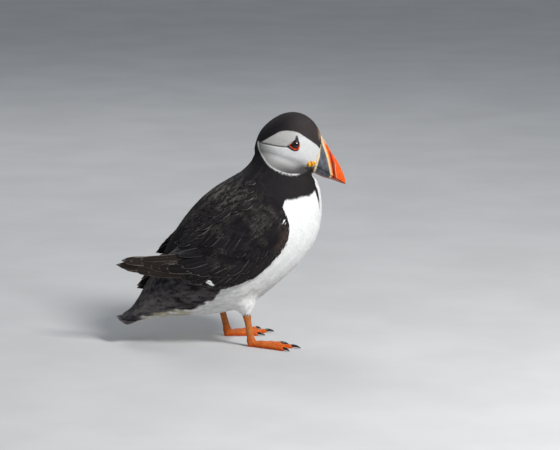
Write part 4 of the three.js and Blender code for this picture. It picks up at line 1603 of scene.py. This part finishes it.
def bill_tint(points):
    """Cream ridge at the base, slate, a cream stripe, then orange with red grooves to the tip."""
    x, z = points[:, 0], points[:, 2]
    over_mouth = z - line_z(MOUTH_LINE, x)
    lower = over_mouth < -0.15
    cere = line_x(CERE_LINE, z)
    cream = line_x(CREAM_LINE, z)
    first = line_x(FIRST_GROOVE, z)
    second = line_x(SECOND_GROOVE, z)
    grain = mottle(points * np.array((1, 0.5, 0.3)), 0.8, 11)
    patches = mottle(points, 3, 12)
    near_mouth = ease(5, 0.5, np.abs(over_mouth))
    slate = SLATE * (1 + 0.10 * grain + 0.12 * patches - 0.35 * near_mouth)[:, None]
    tint = blend(slate, BILL_ORANGE, ease(-0.1, 0.5, x - cream - 0.5))
    before_first = ease(0.5, 2.6, x - cream) * ease(2.6, 1.0, x - first)
    tint = blend(tint, BILL_RED, before_first * (0.55 + 0.25 * grain))
    between = ease(0.4, 1.6, x - first) * ease(0.4, -0.6, x - second)
    tint = blend(tint, BILL_RED, between * (0.35 + 0.3 * grain))
    tint = tint * (1 + 0.08 * grain)[:, None]
    stripe = ease(0.95, 0.55, np.abs(x - cream + 0.2))
    tint = blend(tint, BILL_CREAM * 0.85, stripe)
    tint = blend(tint, BILL_YELLOW, ease(0.5, 0.2, np.abs(x - cream - 0.95)) * 0.7 * ~lower)
    tint = blend(tint, GROOVE_RED * 0.8, ease(0.85, 0.3, np.abs(x - first)) * ease(177, 172, z))
    tint = blend(tint, GROOVE_RED * 0.8, ease(0.7, 0.25, np.abs(x - second + 0.8)) * 0.9 * ease(167, 162, z))
    tint = blend(tint, BILL_CREAM * 0.75, ease(0.4, 0.15, np.abs(x - second)) * 0.8 * ease(166, 160, z))
    # Painted highlight: the top of the upper half's ridge is painted yellow where light catches it.
    ridge_highlight = ease(0.9, 0.2, np.abs(points[:, 1])) * (z > 150) * ~lower * ease(84, 87, x)
    tint = blend(tint, BILL_YELLOW, ridge_highlight * 0.45)
    forehead = ease(179.5, 183.5, z + 0.35 * (x - 83)) * ease(-0.6, 0.4, x - cere)
    tint = blend(tint, FOREHEAD_PINK * 1.35, forehead * 0.9)
    tint = blend(tint, BILL_CREAM * 0.85, ease(1.9, 1.3, np.abs(x - cere)))
    tint = blend(tint, CERE_BROWN, ease(0.5, 0.15, np.abs(x - cere + 1.7)))
    over_keel = z - line_z([s["keel"] for s in BILL_STATIONS], x)
    pink = np.maximum(ease(-0.6, 0.8, x - cream - 0.8) * ease(3.2, 1.6, over_keel), ease(1.6, 0.9, over_keel))
    tint = blend(tint, KEEL_PINK, lower * pink * 0.85)
    mouth = ease(0.42, 0.15, np.abs(over_mouth))
    tint = blend(tint, BLACK, mouth * 0.85)
    nostril = np.hypot((x - cere - 4.2) / 2.6, (over_mouth - 1.2) / 0.35) < 1
    tint = blend(tint, BLACK, nostril * 0.9)
    return np.clip(tint, 0, 1)


# Ridges and grooves across the bill: the line, how far in front of it, the half width and the height.
BILL_RELIEF = [
    (CERE_LINE, 0, 1.15, 0.85), (CREAM_LINE, -0.2, 0.7, 0.22), (FIRST_GROOVE, 0, 0.5, -0.42),
    (SECOND_GROOVE, -0.6, 0.45, -0.36),
]
THIRD_GROOVE = (SECOND_GROOVE, 3.0, 0.45, -0.2)  # faint, and only near the mouth


def bill_relief(points):
    """The height of the ridge, stripe and grooves over the plain horn."""
    x, z = points[:, 0], points[:, 2]

    def across(line, ahead, width, height):
        return height * np.exp(-((x - line_x(line, z) - ahead) / width) ** 2)
    return sum(across(*mark) for mark in BILL_RELIEF) + across(*THIRD_GROOVE) * ease(160, 154, z)


def bill_half(upper):
    """The sections of one half of the bill."""
    sections = []
    for s in BILL_STATIONS:
        gap = min(MOUTH_GAP, s["width"] * 0.08)  # it closes towards the tip
        if upper:
            sections.append({"top": s["culmen"], "bottom": s["mouth"], "width": s["width"]})
        else:
            lip = (s["mouth"][0] - gap, s["mouth"][1] - gap)
            sections.append({"top": lip, "bottom": s["keel"], "width": s["width"] - MOUTH_GAP})
    return sections


def make_bill():
    """The two halves of the bill, each widest at the mouth."""
    material = horn_material("Bill horn", roughness=0.45, flecks=0.10, coat=0.04)
    for name, waist in (("bill_upper", 0.0), ("bill_lower", 1.0)):
        sections = bill_half(name == "bill_upper")
        mesh = mesh_of(spindle(sections, BILL_AROUND, BILL_ALONG, power=1.7, waist=waist))
        points = coordinates(mesh)
        relief = bill_relief(points) * ease(0, 2.2, np.abs(points[:, 1]) + 1.2)
        points = points + point_normals(mesh) * relief[:, None]
        points[:, 0] = np.minimum(points[:, 0], BILL_STATIONS[-1]["culmen"][0])
        paint(mesh, "tint", bill_tint(points))
        set_coordinates(mesh, points)
        finished(name + "_horn", mesh, [name], material)


def make_gape():
    """The wrinkled pad at each corner of the mouth."""
    material = horn_material("Gape skin", roughness=0.5, flecks=0.25, coat=0.1)
    for name, side in SIDES.items():
        shape = bmesh.new()
        bmesh.ops.create_icosphere(shape, subdivisions=6, radius=1)
        mesh = mesh_of(shape)
        ball = coordinates(mesh)
        x, y, z = ball.T
        waves = 1.1 * np.sin(2.6 * z + 0.8 * y) + 0.9 * mottle(ball, 0.55, 23)
        folds = 0.5 + 0.5 * np.sin(x * GAPE_FOLDS + waves)
        size = 1 + GAPE_RELIEF * (folds - 0.7) * (1 - 0.5 * np.abs(x))
        paint(mesh, "tint", blend(GAPE_SHADE, GAPE_YELLOW, ease(0.1, 0.75, folds)))
        points = ball * GAPE_RADII * size[:, None]
        turn = -side * GAPE_TURN
        points = np.stack([
            points[:, 0] * math.cos(turn) - points[:, 1] * math.sin(turn),
            points[:, 0] * math.sin(turn) + points[:, 1] * math.cos(turn),
            points[:, 2],
        ], 1)
        set_coordinates(mesh, points + np.array((GAPE_PLACE[0], side * GAPE_PLACE[1], GAPE_PLACE[2])))
        finished(f"gape_pad_{name}", mesh, [f"gape_{name}"], material)


# ---- Eyes ---------------------------------------------------------------------------------------

def eye_material():
    make = Material("Eye", Roughness=0.08, Specular_IOR_Level=0.4, Coat_Weight=0.3, Coat_Roughness=0.03)
    rays = make.span(make.noise(2400, 3), 0.3, 0.7, 0.7, 1.25)
    make.colour(make.times(make.attribute("tint"), rays))
    return make.material


def ring_tube(path, radii, around):
    """A closed ring of round section along a closed path."""
    count = len(path)
    ahead = unit(np.roll(path, -1, 0) - np.roll(path, 1, 0))
    side = unit(np.cross(ahead, (0, 1, 0)))
    out = np.cross(side, ahead)
    shape = bmesh.new()
    reach = 3  # from the middle of the ring to that of its section, before it is laid on the path
    start = Matrix.Translation((reach, 0, 0)) @ Matrix.Rotation(math.pi / 2, 4, "X")
    bmesh.ops.create_circle(shape, segments=around, radius=1, matrix=start)
    turn = {"axis": (0, 0, 1), "cent": (0, 0, 0), "angle": 2 * math.pi, "steps": count, "use_merge": True}
    bmesh.ops.spin(shape, geom=shape.verts[:] + shape.edges[:], **turn)
    for vert in shape.verts:
        x, y, z = vert.co
        station = round(math.atan2(y, x) / (2 * math.pi) * count) % count
        angle = math.atan2(z, math.hypot(x, y) - reach) - math.pi / 2
        away = math.cos(angle) * side[station] + math.sin(angle) * out[station]
        vert.co = path[station] + radii[station] * away
    bmesh.ops.recalc_face_normals(shape, faces=shape.faces)
    return shape


def make_eyes(surface):
    """The eyeballs with their pupils, and the trim round them."""
    material = eye_material()
    lid_material = horn_material("Eye trim", roughness=0.62, flecks=0.18, coat=0.0)
    for name, side in SIDES.items():
        centre = np.array((EYE_CENTRE[0], side * EYE_CENTRE[1], EYE_CENTRE[2]))
        shape = bmesh.new()
        bmesh.ops.create_uvsphere(shape, u_segments=64, v_segments=48, radius=EYE_RADIUS)
        bmesh.ops.rotate(shape, matrix=Matrix.Rotation(math.radians(90), 3, "X"), verts=shape.verts)
        bmesh.ops.translate(shape, vec=centre, verts=shape.verts)
        mesh = mesh_of(shape)
        points = coordinates(mesh)
        off_axis = np.hypot(points[:, 0] - centre[0], points[:, 2] - centre[2])
        iris = ease(PUPIL_RADIUS - 0.1, PUPIL_RADIUS + 0.15, off_axis)
        tint = blend(PUPIL_BLACK, IRIS_BROWN, iris)
        tint = blend(tint, IRIS_EDGE, ease(2.2, 2.7, off_axis))
        paint(mesh, "tint", tint)
        finished(f"eyeball_{name}", mesh, [f"eye_{name}"], material)
        make_eye_trim(surface, name, side, lid_material)


def beside_eye(surface, side, x, z):
    """How far out the trim lies at each place: a slightly domed sheet over the skin round the eye."""
    ring = curve(EYE_RIM, 24, closed=True)
    rays = [surface.tree.ray_cast((at, side * 30, height), (0, -side, 0)) for at, height in ring]
    out = np.array([abs(spot.y) for spot, _, _, _ in rays])
    terms = np.column_stack([np.ones(len(ring)), ring - np.array((EYE_CENTRE[0], EYE_CENTRE[2]))])
    level, slope_x, slope_z = np.linalg.lstsq(terms, out, rcond=None)[0]
    sheet = level + slope_x * (x - EYE_CENTRE[0]) + slope_z * (z - EYE_CENTRE[2]) + TRIM_STAND
    gap = np.hypot(x - EYE_CENTRE[0], z - EYE_CENTRE[2])
    eye = EYE_CENTRE[1] + np.sqrt(np.maximum(EYE_RADIUS ** 2 - gap ** 2, 0)) - 0.1
    soft = 0.25
    return side * (sheet + soft * np.logaddexp(0, (eye - sheet) / soft) * ease(5.0, 3.0, gap))


def make_eye_trim(surface, name, side, material):
    """The red rim round the eye, the slate plate over it and the slate bar under it."""
    x, z = curve(EYE_RIM, 64, closed=True).T
    path = np.stack([x, beside_eye(surface, side, x, z), z], 1)
    low = ease(182, 179, z)
    lumps = 1 + 0.08 * np.sin(np.arange(len(path)) * 2.1)
    radii = (RIM_RADIUS + (LOW_RIM_RADIUS - RIM_RADIUS) * low) * lumps
    rim = mesh_of(ring_tube(path, radii, 14))
    points = coordinates(rim)
    tint = np.tile(LID_RED, (len(points), 1)) * (1 + 0.25 * mottle(points, 0.9, 21))[:, None]
    upper = ease(181.4, 185.0, points[:, 2])
    paint(rim, "tint", blend(tint, LID_SHADE, upper))
    finished(f"eye_rim_{name}", rim, [], material)
    plates = bmesh.new()
    for stations in (EYE_PLATE, EYE_BAR):
        middle = np.array([((a[0] + b[0]) / 2, (a[1] + b[1]) / 2) for a, b in stations])
        out = beside_eye(surface, side, middle[:, 0], middle[:, 1])
        sections = [{"top": a, "bottom": b, "out": y, "width": 0.6} for (a, b), y in zip(stations, out)]
        add_shape(plates, spindle(sections, around=24, along=28))
    mesh = mesh_of(plates)
    points = coordinates(mesh)
    tint = np.tile(PLATE_SLATE, (len(points), 1)) * (1 + 0.3 * mottle(points, 1.1, 22))[:, None]
    paint(mesh, "tint", blend(tint, PLATE_SLATE * 0.35, ease(183, 180, points[:, 2])))
    finished(f"eye_plates_{name}", mesh, [], material)


# ---- Floor, light and camera --------------------------------------------------------------------

FLOOR_HALF = 6  # metres, as are the places and sizes of the lamps
SKY = (0.80, 0.86, 0.95, 1)
SKY_STRENGTH = 0.34
# Name, place, width and power.
LAMPS = [("Key", (0.90, -0.85, 1.15), 0.45, 29), ("Back", (-0.4, 1.2, 1.3), 1.0, 7)]


def make_stage():
    """A plain floor, an even pale sky and two soft lamps."""
    shape = bmesh.new()
    bmesh.ops.create_grid(shape, x_segments=1, y_segments=1, size=FLOOR_HALF)
    mesh = mesh_of(shape)
    mesh.materials.append(floor_material())
    floor = bpy.data.objects.new("floor", mesh)
    bpy.context.scene.collection.objects.link(floor)
    world = bpy.data.worlds.new("Studio")
    bpy.context.scene.world = world
    world.use_nodes = True
    world.node_tree.nodes["Background"].inputs["Color"].default_value = SKY
    world.node_tree.nodes["Background"].inputs["Strength"].default_value = SKY_STRENGTH
    aim = Vector((0, 0, 100)) * MM
    for name, place, size, power in LAMPS:
        lamp = bpy.data.lights.new(name, "AREA")
        lamp.shape = "DISK"
        lamp.size = size
        lamp.energy = power
        piece = bpy.data.objects.new(name, lamp)
        piece.location = place
        piece.rotation_euler = (aim - Vector(place)).to_track_quat("-Z", "Y").to_euler()
        bpy.context.scene.collection.objects.link(piece)


def make_camera():
    """A long lens at the bird's right side, looking a little down."""
    camera = bpy.data.cameras.new("Camera")
    camera.lens = LENS
    camera.sensor_width = SENSOR_WIDTH
    camera.clip_end = CLIP_END
    piece = bpy.data.objects.new("Camera", camera)
    tilt = math.radians(VIEW_ELEVATION)
    away = Vector((0, -math.cos(tilt), math.sin(tilt))) * VIEW_DISTANCE
    piece.location = (Vector(VIEW_TARGET) + away) * MM
    piece.rotation_euler = (math.pi / 2 - tilt, 0, 0)
    bpy.context.scene.collection.objects.link(piece)
    bpy.context.scene.camera = piece
    bpy.context.scene.view_settings.view_transform = "Standard"


make_camera()
make_stage()
form = whole_form()
skin, skin_parts = make_skin()
body_surface = Surface(skin)
work = bpy.data.objects.new("work", skin)
bpy.context.scene.collection.objects.link(work)
unwrap(work)
make_coat(skin, skin_parts, body_surface)
bpy.data.objects.remove(work)
finished("skin", skin, BODY_NODES + WING_NODES + FOOT_NODES, skin_material())
make_wing_feathers(form)
make_flank_feathers(form)
make_shoulder_feathers(form)
make_tail_feathers()
make_claws()
make_bill()
make_gape()
make_eyes(body_surface)
